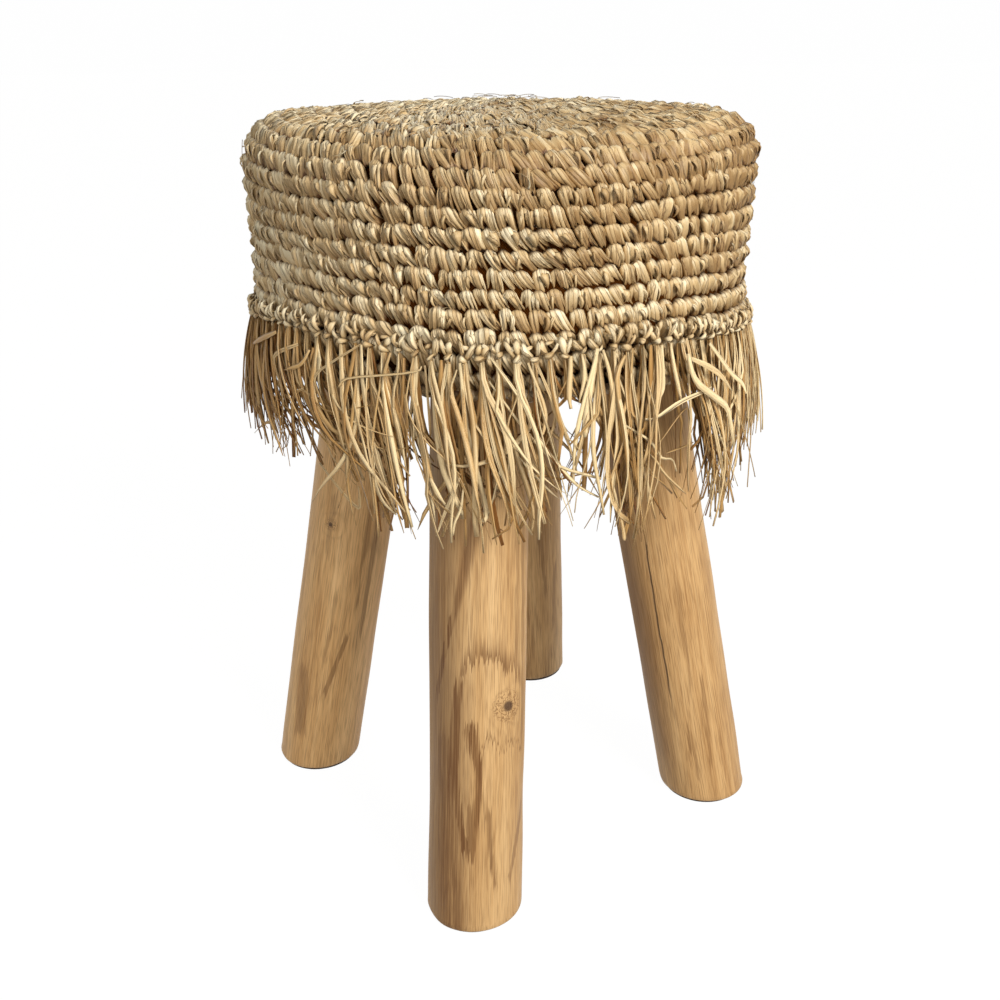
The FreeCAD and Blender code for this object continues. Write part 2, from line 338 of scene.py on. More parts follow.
@dataclass(frozen=True)
class RaffiaFinish:
    """Dry palm leaf in flat strips, straw to cream, with fine ribs and fold lines along each strip.

    Each share is how much a thing sways the tone: the strip's given shade, its own chance, its ribs and
    fibres, and patches of the whole piece. Painted shade darkens some fold lines, the strands' edges and
    their tucked ends, and each strand is painted lighter at its top and darker at its bottom.
    """

    name: str
    # The colour of the painted shade in folds, along edges and at tucked ends.
    deep: Colour = srgb(80, 42, 12)
    brown: Colour = srgb(156, 124, 82)
    straw: Colour = srgb(209, 181, 134)
    cream: Colour = srgb(247, 234, 200)
    shade_share: float = 0.3
    own_share: float = 0.42
    rib_share: float = 0.36
    fibre_share: float = 0.4
    patch_share: float = 0.35
    level: float = -0.29
    # Painted light and shade: how much lighter each strand is at its top and darker at its bottom.
    downward_shade: float = 0.5
    gloss: float = 0.38
    roughness: float = 0.45
    # Painted shade: how far strand edges, fold lines and tucked ends darken towards the deep colour.
    edge: float = 0.55
    crease_shade: float = 0.8
    tuck_shade: float = 0.8
    ribs_across: float = 3.0
    fibres_across: float = 8.0
    folds: float = 0.9
    patch_scale: Scale = (22, 22, 34)
    strip_slide: float = 97.0
    relief: float = 1.2 * MM

    def make(self) -> Material:
        """Builds the material.

        Returns:
            The material, which reads the strip map and the shade of each strip.
        """
        graph = ShaderGraph(self.name)
        shade = graph.attribute(SHADE)
        across, along, _ = graph.split(graph.strip_map())
        strip = {"Vector": graph.join(shade, graph.math("FLOOR", across))}
        chances = graph.result("ShaderNodeTexWhiteNoise", strip, noise_dimensions="2D").node.outputs
        own, creased = chances["Value"], graph.split(chances["Color"])[1]
        slide = graph.product(own, self.strip_slide)
        ribs = graph.noise(graph.join(graph.product(across, self.ribs_across), along, slide), 3.0)
        fibres = graph.noise(graph.join(graph.product(across, self.fibres_across), along, slide))
        patches = graph.noise(graph.mapped(graph.coordinates(), self.patch_scale))
        # The tone falls along each strand: painted light at its top and painted shade at its bottom.
        level = 0.5 * (self.downward_shade - self.shade_share) + self.level
        tone = graph.total((shade, self.shade_share), (own, self.own_share), (ribs, self.rib_share),
                           (fibres, self.fibre_share), (patches, self.patch_share), (along, -self.downward_shade),
                           (1.0, level))
        colour = graph.ramp(tone, ((0.12, self.brown), (0.46, self.straw), (0.84, self.cream)))
        wander = graph.noise(graph.join(graph.product(along, 2.2), slide), 1.0)
        wave = graph.total((across, math.pi * self.folds), (wander, 2.6), (own, 9.0))
        ridge = graph.math("POWER", graph.math("ABSOLUTE", graph.math("SINE", wave)), 0.6)
        # Painted shade along some fold lines and along each strand's edges.
        folded = graph.product(graph.smooth(ridge, 0.5, 0.12), graph.smooth(creased, 0.1, 0.7))
        rim = graph.smooth(graph.apart(graph.math("FRACT", across), 0.5), 0.36, 0.5)
        # Painted shade at each strand's tucked ends.
        tucked = graph.smooth(graph.apart(along, 0.5), 0.38, 0.5)
        for where, amount in ((folded, self.crease_shade), (rim, self.edge), (tucked, self.tuck_shade)):
            colour = graph.mix(graph.product(where, amount), colour, self.deep)
        graph.set(Base_Color=colour, Roughness=self.roughness, Specular_IOR_Level=self.gloss)
        graph.bump(graph.total((ridge, 0.5), (ribs, 0.35), (fibres, 0.15)), self.relief)
        return graph.material


@dataclass(frozen=True)
class StemMark:
    """A place on a leg: degrees round the stem from its outer side, and metres above the floor."""

    angle: float
    height: float
    size: float = 3 * MM


@dataclass(frozen=True)
class GrowthLine:
    """A growth line across a leg's face: dark at the line, and feathered out above it in hairs.

    Its points are degrees round the stem and metres above the floor, from left to right.
    """

    points: Table
    strength: float = 0.7
    feather: float = 12 * MM


@dataclass(frozen=True)
class Streak:
    """A dark streak along a leg. Each end is degrees round, metres up and half its width in degrees."""

    top: tuple[float, float, float]
    bottom: tuple[float, float, float]
    strength: float = 0.6
    fade: float = 0.4


@dataclass(frozen=True)
class TeakFinish:
    """Bare natural teak: fine pores, growth lines in arches and tongues, knots, pin holes and a check.

    Each scale is how many waves of a pattern go in a metre, twice across the stem and once along it.
    """

    name: str
    seed: float
    knots: tuple[StemMark, ...] = ()
    pin_holes: tuple[StemMark, ...] = ()
    check: tuple[StemMark, ...] = ()
    lines: tuple[GrowthLine, ...] = ()
    streaks: tuple[Streak, ...] = ()
    figure: float = 0.25
    paleness: float = 1.0
    pale: Colour = srgb(226, 188, 136)
    tan: Colour = srgb(206, 165, 113)
    brown: Colour = srgb(172, 129, 80)
    line: Colour = srgb(94, 57, 16)
    knot_heart: Colour = srgb(66, 42, 22)
    pith: tuple[float, float] = (7 * MM, -4 * MM)
    tallest: float = 0.3
    ring_gap: float = 6.5 * MM
    knot_reach: float = 10 * MM
    check_half_width: float = 0.75 * MM
    check_fade: float = 25 * MM
    fibre_scale: Scale = (1000, 1000, 14)
    hair_scale: Scale = (1100, 1100, 34)
    pore_scale: Scale = (1800, 1800, 60)
    band_scale: Scale = (110, 110, 4)
    patch_scale: Scale = (26, 26, 9)
    knot_scale: Scale = (330, 330, 330)
    sway_scale: Scale = (60, 60, 20)
    ring_scale: Scale = (34, 34, 7.5)
    ring_ripple_scale: Scale = (160, 160, 110)
    check_scale: Scale = (4, 4, 26)
    pore_darkness: float = 0.4
    gloss: float = 0.35
    relief: float = 0.5 * MM

    def spot(self, mark: StemMark) -> tuple[float, float, float]:
        """Where a mark lies in the stem's own coordinates."""
        turn = math.radians(mark.angle)
        return (FOOT_RADIUS * math.cos(turn), FOOT_RADIUS * math.sin(turn), mark.height / math.cos(LEG_LEAN))

    def make(self) -> Material:
        """Builds the material, which reads the stem coordinates of the leg's mesh."""
        return TeakGraph(self).finished()


class TeakGraph(ShaderGraph):
    """The nodes of one leg's material: its grain, and the marks that are laid over it."""

    def __init__(self, finish: TeakFinish) -> None:
        """Starts with the noises that run along the stem, and each point's place on it ragged by them.

        Args:
            finish: The leg's finish.
        """
        super().__init__(finish.name)
        self.finish = finish
        self.stem = self.attribute(STEM, "Vector")
        self.x, self.y, self.z = self.split(self.stem)
        self.fibres = self.own_noise(finish.fibre_scale, 3.0, 0.6)
        self.hairs = self.own_noise(finish.hair_scale)
        self.patches = self.own_noise(finish.patch_scale)
        sway = self.own_noise(finish.sway_scale)
        self.degrees = self.product(self.math("ARCTAN2", self.y, self.x), math.degrees(1.0))
        self.ragged = self.total((self.degrees, 1.0), (self.hairs, 10.0), (sway, 7.0), (1.0, -8.5))
        self.level = self.total((self.z, 1.0), (self.hairs, 30 * MM), (sway, 10 * MM), (1.0, -20 * MM))

    def own_noise(self, scale: Scale, detail: float = 2.0, roughness: float = 0.5) -> Socket:
        """A noise on the stem that is this leg's own."""
        shift = (self.finish.seed, self.finish.seed, 0)
        return self.noise(self.mapped(self.stem, scale, shift), detail, roughness)

    def nearness(self, mark: StemMark, reach: float) -> Socket:
        """1 at a mark, falling to 0 about one reach away."""
        share = self.math("DIVIDE", self.distance(self.stem, self.finish.spot(mark)), reach)
        return self.math("EXPONENT", self.product(share, share, -1.0))

    def growth(self) -> Socket:
        """How far each point lies from the pith, bent by the knots.

        Returns:
            The distance, counted in growth rings.
        """
        finish = self.finish
        from_pith = self.distance(self.join(self.x, self.y), (*finish.pith, 0.0))
        sway = self.noise(self.mapped(self.stem, finish.ring_scale, (finish.seed, 0, 0)), 2.0, 0.45)
        ripple = self.noise(self.mapped(self.stem, finish.ring_ripple_scale, (0, finish.seed, 0)))
        parts = [(from_pith, 1 / finish.ring_gap), (sway, 4.0), (self.fibres, 0.5)]
        for knot in finish.knots:
            close = self.nearness(knot, finish.knot_reach)
            parts += [(close, 1.6), (self.product(close, ripple), 1.6)]
        return self.total(*parts)

    def ground(self) -> Socket:
        """The wood's colour with its growth rings, before the marks.

        Returns:
            The colour.
        """
        finish = self.finish
        bands = self.own_noise(finish.band_scale, 3.0)
        tone = self.total((bands, 0.55), (self.fibres, 0.5), (self.patches, 0.35), (1.0, -0.2))
        stops = []
        for place, colour in ((0.3, finish.brown), (0.5, finish.tan), (0.72, finish.pale)):
            stops.append((place, tuple(min(1.0, part * finish.paleness) for part in colour[:3]) + (1.0,)))
        late = self.product(
            self.smooth(self.apart(self.math("FRACT", self.growth()), 0.8), 0.3, 0.0),
            self.smooth(self.hairs, 0.36, 0.6), self.smooth(self.patches, 0.35, 0.65), finish.figure,
        )
        return self.mix(late, self.ramp(tone, stops), finish.line)

    def growth_line(self, line: GrowthLine) -> Socket:
        """A growth line, feathered out above in hairs.

        Args:
            line: The line.

        Returns:
            Its strength on it, and 0 elsewhere.
        """
        stops = [(degrees / 360 + 0.5, rise / self.finish.tallest) for degrees, rise in line.points]
        turn = self.total((self.degrees, 1 / 360), (1.0, 0.5))
        above = self.total((self.level, 1.0), (self.curve(turn, stops), -self.finish.tallest))
        first, last = line.points[0][0], line.points[-1][0]
        ends = (self.smooth(self.degrees, first, first + 4), self.smooth(self.degrees, last, last - 4))
        feathered = (self.smooth(above, -0.8 * MM, 0.8 * MM), self.smooth(above, line.feather, 0))
        return self.product(*feathered, *ends, line.strength)

    def streak(self, streak: Streak) -> Socket:
        """A dark streak with hairs at both ends.

        Args:
            streak: The streak.

        Returns:
            Its strength along it, and 0 elsewhere.
        """
        (turn, high, wide), (foot_turn, low, foot_wide) = streak.top, streak.bottom
        share = self.total((self.level, 1 / (high - low)), (1.0, -low / (high - low)))
        middle = self.total((share, turn - foot_turn), (1.0, foot_turn))
        half = self.math("MAXIMUM", self.total((share, wide - foot_wide), (1.0, foot_wide)), 0.5)
        away = self.math("DIVIDE", self.apart(self.ragged, middle), half)
        return self.product(
            self.smooth(away, 1.0, 1.0 - streak.fade), self.smooth(share, -0.06, 0.06),
            self.smooth(share, 1.06, 0.94), streak.strength,
        )

    def knot_rings(self, knot: StemMark) -> Socket:
        """Thin scalloped lines round a knot.

        Args:
            knot: The knot.

        Returns:
            Their strength, fading outwards.
        """
        away = self.distance(self.stem, self.finish.spot(knot))
        ripple = self.own_noise(self.finish.knot_scale)
        waves = self.math("FRACT", self.total((away, 1 / (0.62 * knot.size)), (ripple, 4.5)))
        near = self.smooth(away, 2.9 * knot.size, 1.6 * knot.size)
        return self.product(self.smooth(self.apart(waves, 0.5), 0.24, 0.06), near, 0.62)

    def check_line(self) -> Socket:
        """The drying check that runs down the stem.

        Returns:
            1 along it, and 0 elsewhere.
        """
        top, bottom = self.finish.check
        half, fade = self.finish.check_half_width, self.finish.check_fade
        angle = math.radians((top.angle + bottom.angle) / 2)
        waver = self.noise(self.mapped(self.stem, self.finish.check_scale), 3.0)
        aside = self.total((self.x, -math.sin(angle)), (self.y, math.cos(angle)), (waver, 5 * MM),
                           (1.0, -2.5 * MM))
        facing = self.total((self.x, math.cos(angle)), (self.y, math.sin(angle)))
        return self.product(
            self.smooth(self.math("ABSOLUTE", aside), half, half / 5), self.smooth(facing, 0, 5 * MM),
            self.smooth(self.z, bottom.height, bottom.height + fade),
            self.smooth(self.z, top.height + fade, top.height),
        )

    def markings(self) -> Socket:
        """The growth lines and streaks together.

        Returns:
            How dark they are, 0 to 1.
        """
        dark: object = 0.0
        for line in self.finish.lines:
            dark = self.math("MAXIMUM", dark, self.growth_line(line))
        for streak in self.finish.streaks:
            dark = self.math("MAXIMUM", dark, self.streak(streak))
        return self.product(dark, self.smooth(self.fibres, 0.15, 0.6))

    def finished(self) -> Material:
        """Lays the marks, pores, knots, holes and check over the wood.

        Returns:
            The material.
        """
        finish = self.finish
        dark, pores = self.markings(), self.own_noise(finish.pore_scale, 1.0)
        colour = self.mix(dark, self.ground(), finish.line)
        dashes = self.product(self.smooth(pores, 0.42, 0.72), finish.pore_darkness)
        colour = self.mix(dashes, colour, finish.line)
        for knot in finish.knots:
            colour = self.mix(self.knot_rings(knot), colour, finish.line)
            heart = self.smooth(self.nearness(knot, knot.size), 0.3, 0.75)
            colour = self.mix(self.product(heart, 0.9), colour, finish.knot_heart)
        for hole in finish.pin_holes:
            dot = self.smooth(self.nearness(hole, hole.size), 0.35, 0.5)
            colour = self.mix(dot, colour, finish.knot_heart)
        relief = self.total((self.fibres, 0.5), (pores, -0.35), (dark, -0.2))
        if finish.check:
            split = self.check_line()
            colour = self.mix(self.product(split, 0.8), colour, finish.knot_heart)
            relief = self.total((relief, 1.0), (split, -3.0))
        roughness = self.total((self.fibres, 0.2), (1.0, 0.42))
        self.set(Base_Color=colour, Roughness=roughness, Specular_IOR_Level=finish.gloss)
        self.bump(relief, finish.relief)
        return self.material


@dataclass(frozen=True)
class BoardFinish:
    """Raw sawn wood or plywood: straight grain on its faces and thin plies on its edges."""

    name: str
    pale: Colour
    dark: Colour
    ply: float = 0.0
    grain_scale: Scale = (18, 420, 420)
    figure_scale: Scale = (5, 38, 38)
    roughness: float = 0.72
    relief: float = 0.25 * MM

    def make(self) -> Material:
        """Builds the material.

        Returns:
            The material, which reads the piece's own coordinates.
        """
        graph = ShaderGraph(self.name)
        place = graph.coordinates()
        grain = graph.noise(graph.mapped(place, self.grain_scale), 4.0, 0.6)
        figure = graph.noise(graph.mapped(place, self.figure_scale), 3.0)
        tone = graph.total((grain, 0.6), (figure, 0.5), (1.0, -0.05))
        colour = graph.ramp(tone, ((0.35, self.dark), (0.62, self.pale)))
        if self.ply:
            _, _, height = graph.split(place)
            layer = graph.math("PINGPONG", graph.math("DIVIDE", height, self.ply), 1.0)
            normal = graph.split(graph.result("ShaderNodeNewGeometry", {}, "Normal"))[2]
            edge = graph.smooth(graph.math("ABSOLUTE", normal), 0.6, 0.3)
            colour = graph.mix(graph.product(graph.smooth(layer, 0.45, 0.55), edge, 0.6), colour, self.dark)
        graph.set(Base_Color=colour, Roughness=self.roughness)
        graph.bump(grain, self.relief)
        return graph.material


@dataclass(frozen=True)
class ClothFinish:
    """A plain weave, a felt or a wadding, by the size of its threads or fibres."""

    name: str
    dark: Colour
    pale: Colour
    thread: float = 0.6 * MM
    woven: bool = True
    sheen: float = 0.2
    roughness: float = 0.93
    blotch_scale: Scale = (60, 60, 60)

    def make(self) -> Material:
        """Builds the material.

        Returns:
            The material, which reads the piece's own coordinates.
        """
        graph = ShaderGraph(self.name)
        place = graph.coordinates()
        fuzz = graph.noise(graph.mapped(place, (1 / self.thread,) * 3), 4.0, 0.7)
        blotches = graph.noise(graph.mapped(place, self.blotch_scale), 3.0)
        relief = fuzz
        if self.woven:
            x, y, z = graph.split(graph.mapped(place, (math.pi / self.thread,) * 3))
            warp = graph.math("SINE", graph.math("ADD", x, y))
            weave = graph.product(warp, graph.math("SINE", z))
            relief = graph.total((weave, 0.35), (fuzz, 0.4), (1.0, 0.3))
        tone = graph.total((relief, 0.7), (blotches, 0.4))
        colour = graph.ramp(tone, ((0.3, self.dark), (0.75, self.pale)))
        graph.set(Base_Color=colour, Roughness=self.roughness, Sheen_Weight=self.sheen)
        graph.set(Specular_IOR_Level=self.sheen)
        graph.bump(relief, self.thread)
        return graph.material


@dataclass(frozen=True)
class SteelFinish:
    """Drawn or plated steel, with a faint tarnish."""

    name: str
    bright: Colour
    dull: Colour
    least_roughness: float = 0.2
    tarnish_scale: Scale = (400, 400, 400)
    relief: float = 0.05 * MM

    def make(self) -> Material:
        """Builds the material.

        Returns:
            The material, which reads the piece's own coordinates.
        """
        graph = ShaderGraph(self.name)
        tarnish = graph.noise(graph.mapped(graph.coordinates(), self.tarnish_scale), 4.0, 0.6)
        colour = graph.ramp(tarnish, ((0.35, self.dull), (0.65, self.bright)))
        roughness = graph.total((tarnish, 0.3), (1.0, self.least_roughness))
        graph.set(Base_Color=colour, Metallic=1.0, Roughness=roughness)
        graph.bump(tarnish, self.relief)
        return graph.material


class Piece:
    """Turns finished meshes into pieces of the model."""

    @staticmethod
    def from_bmesh(name: str, shape: BMesh) -> Object:
        """Makes an object from a bmesh, smooth shaded, at the origin.

        Args:
            name: The piece's name.
            shape: Its mesh, which is freed.

        Returns:
            The object, linked to the scene.
        """
        mesh = bpy.data.meshes.new(name)
        shape.to_mesh(mesh)
        shape.free()
        mesh.shade_smooth()
        piece = bpy.data.objects.new(name, mesh)
        bpy.context.scene.collection.objects.link(piece)
        return piece

    @staticmethod
    def dress(piece: Object, material: Material, slot: str, nodes: Sequence[str]) -> Object:
        """Gives a piece its material and its place in the model.

        Args:
            piece: The piece.
            material: Its finish.
            slot: The record's material slot; not used.
            nodes: The CAD nodes that it stands for.

        Returns:
            The piece.
        """
        piece.data.materials.clear()
        piece.data.materials.append(material)
        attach(piece, BODY)
        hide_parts(*nodes)
        log.info("%s stands for %s, %d faces", piece.name, ", ".join(nodes), len(piece.data.polygons))
        return piece


@dataclass(frozen=True)
class CoverSpot:
    """A point of the cover's outer line: its distance from the axis, its height and its slope."""

    radius: float
    height: float
    tilt: float

    def matrix(self, azimuth: float, inset: float) -> Matrix:
        """The frame of a stitch here: X along the round, Y back towards the crown, Z outwards.

        Args:
            azimuth: Where round the seat, in radians.
            inset: How far inside the cover's outer face.

        Returns:
            The matrix from the stitch's own frame.
        """
        round_way = Vector((-math.sin(azimuth), math.cos(azimuth), 0))
        level = Vector((math.cos(azimuth), math.sin(azimuth), 0))
        outward = level * math.sin(self.tilt) + Vector((0, 0, math.cos(self.tilt)))
        back = Vector((0, 0, math.sin(self.tilt))) - level * math.cos(self.tilt)
        place = level * self.radius + Vector((0, 0, self.height)) - outward * inset
        frame = Matrix((round_way, back, outward)).transposed().to_4x4()
        frame.translation = place
        return frame


@dataclass(frozen=True)
class CoverProfile:
    """The cover's outer line, from the middle of the seat over its edge to the turned-in hem."""

    radius: float
    crown_height: float
    hem_height: float
    crown_rise: float = 8 * MM
    shoulder: float = 27 * MM
    corner: float = 8 * MM
    hem_return: float = 22 * MM

    @property
    def crown_drop(self) -> float:
        """How far the crown's centre is below the shoulder's."""
        across = self.radius - self.shoulder
        return (across**2 - self.crown_rise**2) / (2 * self.crown_rise)

    @property
    def crown_radius(self) -> float:
        """The radius of the seat's shallow dome."""
        return self.shoulder + self.crown_rise + self.crown_drop

    @property
    def crown_angle(self) -> float:
        """The slope where the dome runs into the shoulder."""
        return math.atan2(self.radius - self.shoulder, self.crown_drop)

    @property
    def wall_top(self) -> float:
        """The height where the shoulder runs into the wall."""
        return self.crown_height - self.crown_rise - self.shoulder

    @property
    def lengths(self) -> tuple[float, ...]:
        """The lengths of the line's stretches.

        Returns:
            Those of dome, shoulder, wall, corner and turned-in hem.
        """
        return (
            self.crown_radius * self.crown_angle,
            self.shoulder * (math.pi / 2 - self.crown_angle),
            self.wall_top - self.hem_height - self.corner,
            self.corner * math.pi / 2,
            self.hem_return,
        )

    @property
    def wall_start(self) -> float:
        """The distance along the line where the wall starts."""
        return sum(self.lengths[:2])

    @property
    def end(self) -> float:
        """The distance along the line of the hem's turned-in edge."""
        return sum(self.lengths)

    def distance_at(self, height: float) -> float:
        """The distance along the line to a height on the wall."""
        return self.wall_start + self.wall_top - height

    def spot(self, distance: float) -> CoverSpot:
        """Follows the line.

        Args:
            distance: How far along it from the middle of the seat.

        Returns:
            The point there.
        """
        dome, shoulder, wall, corner, _ = self.lengths
        if distance < dome:
            angle = distance / self.crown_radius
            low = self.crown_height - self.crown_radius * (1 - math.cos(angle))
            return CoverSpot(self.crown_radius * math.sin(angle), low, angle)
        distance -= dome
        if distance < shoulder:
            angle = self.crown_angle + distance / self.shoulder
            radius = self.radius - self.shoulder * (1 - math.sin(angle))
            return CoverSpot(radius, self.wall_top + self.shoulder * math.cos(angle), angle)
        distance -= shoulder
        if distance < wall:
            return CoverSpot(self.radius, self.wall_top - distance, math.pi / 2)
        distance -= wall
        if distance < corner:
            angle = math.pi / 2 + distance / self.corner
            radius = self.radius - self.corner * (1 - math.sin(angle))
            return CoverSpot(radius, self.hem_height + self.corner * (1 + math.cos(angle)), angle)
        return CoverSpot(self.radius - self.corner - (distance - corner), self.hem_height, math.pi)


def strip_layer(shape: BMesh) -> bmesh.types.BMLayerItem:
    """The strip map of a bmesh, which is made if it has none."""
    return shape.loops.layers.uv.get(STRIP_MAP) or shape.loops.layers.uv.new(STRIP_MAP)


@dataclass(frozen=True)
class Lobe:
    """One folded strip that arches out of the cover and is tucked in at both ends.

    Places are right and up of the stitch's middle, in metres.
    """

    start: tuple[float, float]
    end: tuple[float, float]
    half_width: float
    arch: float
    half_thickness: float
    bow: float
    taper: float
    roll: float
    skew: float
    rings: int
    around: int = 4

    def shaped(self, across: float, outward: float, share: float) -> Vector:
        """Where a point of the lobe lies.

        Args:
            across: The cosine of its angle round the section.
            outward: The sine of its angle round the section.
            share: How far along the lobe, 0 to 1.

        Returns:
            The place in the stitch's frame.
        """
        start, end = Vector(self.start), Vector(self.end)
        way = (end - start).normalized()
        aside = Vector((-way.y, way.x))
        swell = max(0.0, math.sin(math.pi * share**self.skew))
        middle = start.lerp(end, share) + Vector((self.bow * swell, 0))
        width = self.half_width * swell**0.45 * (1 - self.taper * share)
        height = self.arch * swell**0.7 + self.half_thickness * swell**0.6 * outward
        height -= self.roll * width * across
        flat = middle + aside * (width * across)
        return Vector((flat.x, flat.y, height))

    def add_to(self, shape: BMesh, number: int) -> None:
        """Adds the lobe to a bmesh, with its strip map.

        Args:
            shape: The bmesh.
            number: Which lobe of the stitch this is, to shift its map.
        """
        made = bmesh.ops.create_uvsphere(shape, u_segments=self.around, v_segments=self.rings, radius=1.0)
        layer = strip_layer(shape)
        places = {}
        for vert in made["verts"]:
            turn = math.atan2(vert.co.y, vert.co.x)
            share = math.acos(max(-1.0, min(1.0, vert.co.z))) / math.pi
            places[vert] = (math.cos(turn), math.sin(turn), share)
        for face in {face for vert in made["verts"] for face in vert.link_faces}:
            for loop in face.loops:
                across, _, share = places[loop.vert]
                loop[layer].uv = (number + 0.5 + 0.5 * across, share)
        for vert, place in places.items():
            vert.co = self.shaped(*place)
        bmesh.ops.recalc_face_normals(shape, faces=list({f for v in made["verts"] for f in v.link_faces}))


@dataclass(frozen=True)
class LobeForm:
    """How the strips of one kind vary. Each size is fixed, or a middle and its spread, in millimetres."""

    start: tuple[Size, Size]
    end: tuple[Size, Size]
    half_width: Size
    arch: Size
    half_thickness: Size
    bow: Size = 0.0
    taper: Size = 0.4
    roll: Size = 0.0
    skew: float = 0.8
    rings: int = 5

    def draw(self, chance: Chance, side: int = 1) -> Lobe:
        """Draws one strip.

        Args:
            chance: The dice.
            side: 1 to start, end, bow and roll as given, or -1 to the other side.

        Returns:
            The strip.
        """
        start, end = [(side * chance.pick(x) * MM, chance.pick(y) * MM) for x, y in (self.start, self.end)]
        return Lobe(
            start=start,
            end=end,
            half_width=chance.pick(self.half_width) * MM,
            arch=chance.pick(self.arch) * MM,
            half_thickness=chance.pick(self.half_thickness) * MM,
            bow=side * chance.pick(self.bow) * MM,
            taper=chance.pick(self.taper),
            roll=side * chance.pick(self.roll),
            skew=self.skew,
            rings=self.rings,
        )


@dataclass(frozen=True)
class Hood:
    """The body of one stitch: strands that puff out of the cover side by side and part below into legs.

    Its rows are the share of the way down, how far it stands out, and the share of its width there. Its
    seams are the strands' edges across it, from -1 to 1, with how deep each one is. Lengths are in metres.
    """

    head: float
    foot: float
    height: float
    slant: float
    droop: float
    notch: int
    notch_depth: float
    seams: Table
    rows: tuple[tuple[float, float, float], ...]

    def shaped(self, column: int, row: int) -> tuple[Vector, float]:
        """Shapes a point of the grid.

        Args:
            column: Its column, from the left.
            row: Its row, from the top.

        Returns:
            Where it lies, and how far along its strand it is for the strip map, pushed on in the notch for
            painted shade.
        """
        share, out, breadth = self.rows[row]
        across, depth = self.seams[column]
        width = (self.head + (self.foot - self.head) * share) * breadth
        middle = self.slant * (share**1.4 - 0.35)
        near = max(0.0, 1 - 0.5 * abs(column - self.notch))
        parted = self.notch_depth * max(0.0, (share - 0.4) / 0.6) * near
        high = self.height * (0.5 - share) - self.droop * across**2 * (1 - share) + parted * 0.5
        hollow = depth * min(1.0, 4 * share) + parted
        place = Vector((middle + width * across, high, out * (1 - across**4) - hollow))
        # The along value is pushed on in the notch, so that the tucked-end painted shade darkens it.
        return place, share + 0.45 * near * min(1.0, 0.7 * parted / MM)

    def add_to(self, shape: BMesh, number: int) -> None:
        """Adds the hood to a bmesh, with its strip map: one unit across for each strand.

        Args:
            shape: The bmesh.
            number: Where its strands start in the map.
        """
        columns, rows = len(self.seams) - 1, len(self.rows) - 1
        made = bmesh.ops.create_grid(shape, x_segments=columns, y_segments=rows, size=1)
        layer = strip_layer(shape)
        places = {}
        for vert in made["verts"]:
            places[vert] = (round((vert.co.x + 1) / 2 * columns), round((1 - vert.co.y) / 2 * rows))
        faces = {face for vert in made["verts"] for face in vert.link_faces}
        rim = [edge for edge in {edge for face in faces for edge in face.edges} if edge.is_boundary]
        faces.update(bmesh.ops.contextual_create(shape, geom=rim)["faces"])
        for vert, (column, row) in places.items():
            vert.co, _ = self.shaped(column, row)
        for face in faces:
            for loop in face.loops:
                column, row = places[loop.vert]
                loop[layer].uv = (number + column / 2, min(1.0, self.shaped(column, row)[1]))
        bmesh.ops.recalc_face_normals(shape, faces=list(faces))


@dataclass(frozen=True)
class HoodForm:
    """How the bodies of stitches vary. A pair is a middle and its spread, and sizes are in millimetres."""

    strands: int = 4
    seam_depth: Spread = (1.5, 1.0)
    strand_depth: Spread = (-0.2, 0.4)
    rim_depth: float = 0.3
    strand_shift: float = 0.07
    slants: tuple[float, ...] = (1.0, 2.4, 3.6, 4.6, 5.6)
    slant_spread: float = 0.5
    head: Spread = (4.1, 0.4)
    foot: Spread = (4.7, 0.4)
    slant_narrowing: float = 0.25
    height: Spread = (13.1, 0.6)
    droop: Spread = (1.9, 0.7)
    notches: tuple[int, ...] = (2, 2, 4, 4, 6)
    notch_depth: Spread = (3.2, 2.4)
    swelling: Spread = (1.0, 0.12)
    rows: tuple[tuple[float, float, float], ...] = (
        (0.0, -0.6, 0.74), (0.07, 2.4, 0.95), (0.24, 3.9, 1.0),
        (0.55, 3.4, 1.0), (0.84, 2.3, 1.0), (1.0, 0.5, 0.92),
    )

    def draw(self, chance: Chance) -> Hood:
        """Draws one body.

        Args:
            chance: The dice.

        Returns:
            The body.
        """
        seams = []
        for column in range(2 * self.strands + 1):
            rim = column in (0, 2 * self.strands)
            depth = chance.vary(*(self.strand_depth if column % 2 else self.seam_depth))
            across = column / self.strands - 1 + (0.0 if rim else chance.vary(0, self.strand_shift))
            seams.append((across, (self.rim_depth if rim else depth) * MM))
        slant = chance.choice(self.slants)
        rows = [(share, chance.vary(*self.swelling) * out * MM, width) for share, out, width in self.rows]
        foot, foot_spread = self.foot
        return Hood(
            rows=tuple(rows),
            head=chance.vary(*self.head) * MM,
            foot=chance.vary(foot - self.slant_narrowing * slant, foot_spread) * MM,
            height=chance.vary(*self.height) * MM,
            slant=chance.vary(slant, self.slant_spread) * MM,
            droop=chance.vary(*self.droop) * MM,
            notch=chance.choice(self.notches),
            notch_depth=chance.vary(*self.notch_depth) * MM,
            seams=tuple(seams),
        )


def small_mesh(name: str, shape: BMesh) -> Mesh:
    """Makes a mesh that is only copied from.

    Args:
        name: Its name.
        shape: Its bmesh, which is freed.

    Returns:
        The mesh.
    """
    mesh = bpy.data.meshes.new(name)
    shape.to_mesh(mesh)
    shape.free()
    return mesh


def lobe_mesh(name: str, parts: Sequence[Lobe | Hood]) -> Mesh:
    """A small mesh of a few lobes and hoods, to be copied many times.

    Args:
        name: The mesh's name.
        parts: Its parts.

    Returns:
        The mesh, with the strip map.
    """
    shape = bmesh.new()
    for number, part in enumerate(parts):
        part.add_to(shape, 5 * number)
    return small_mesh(name, shape)


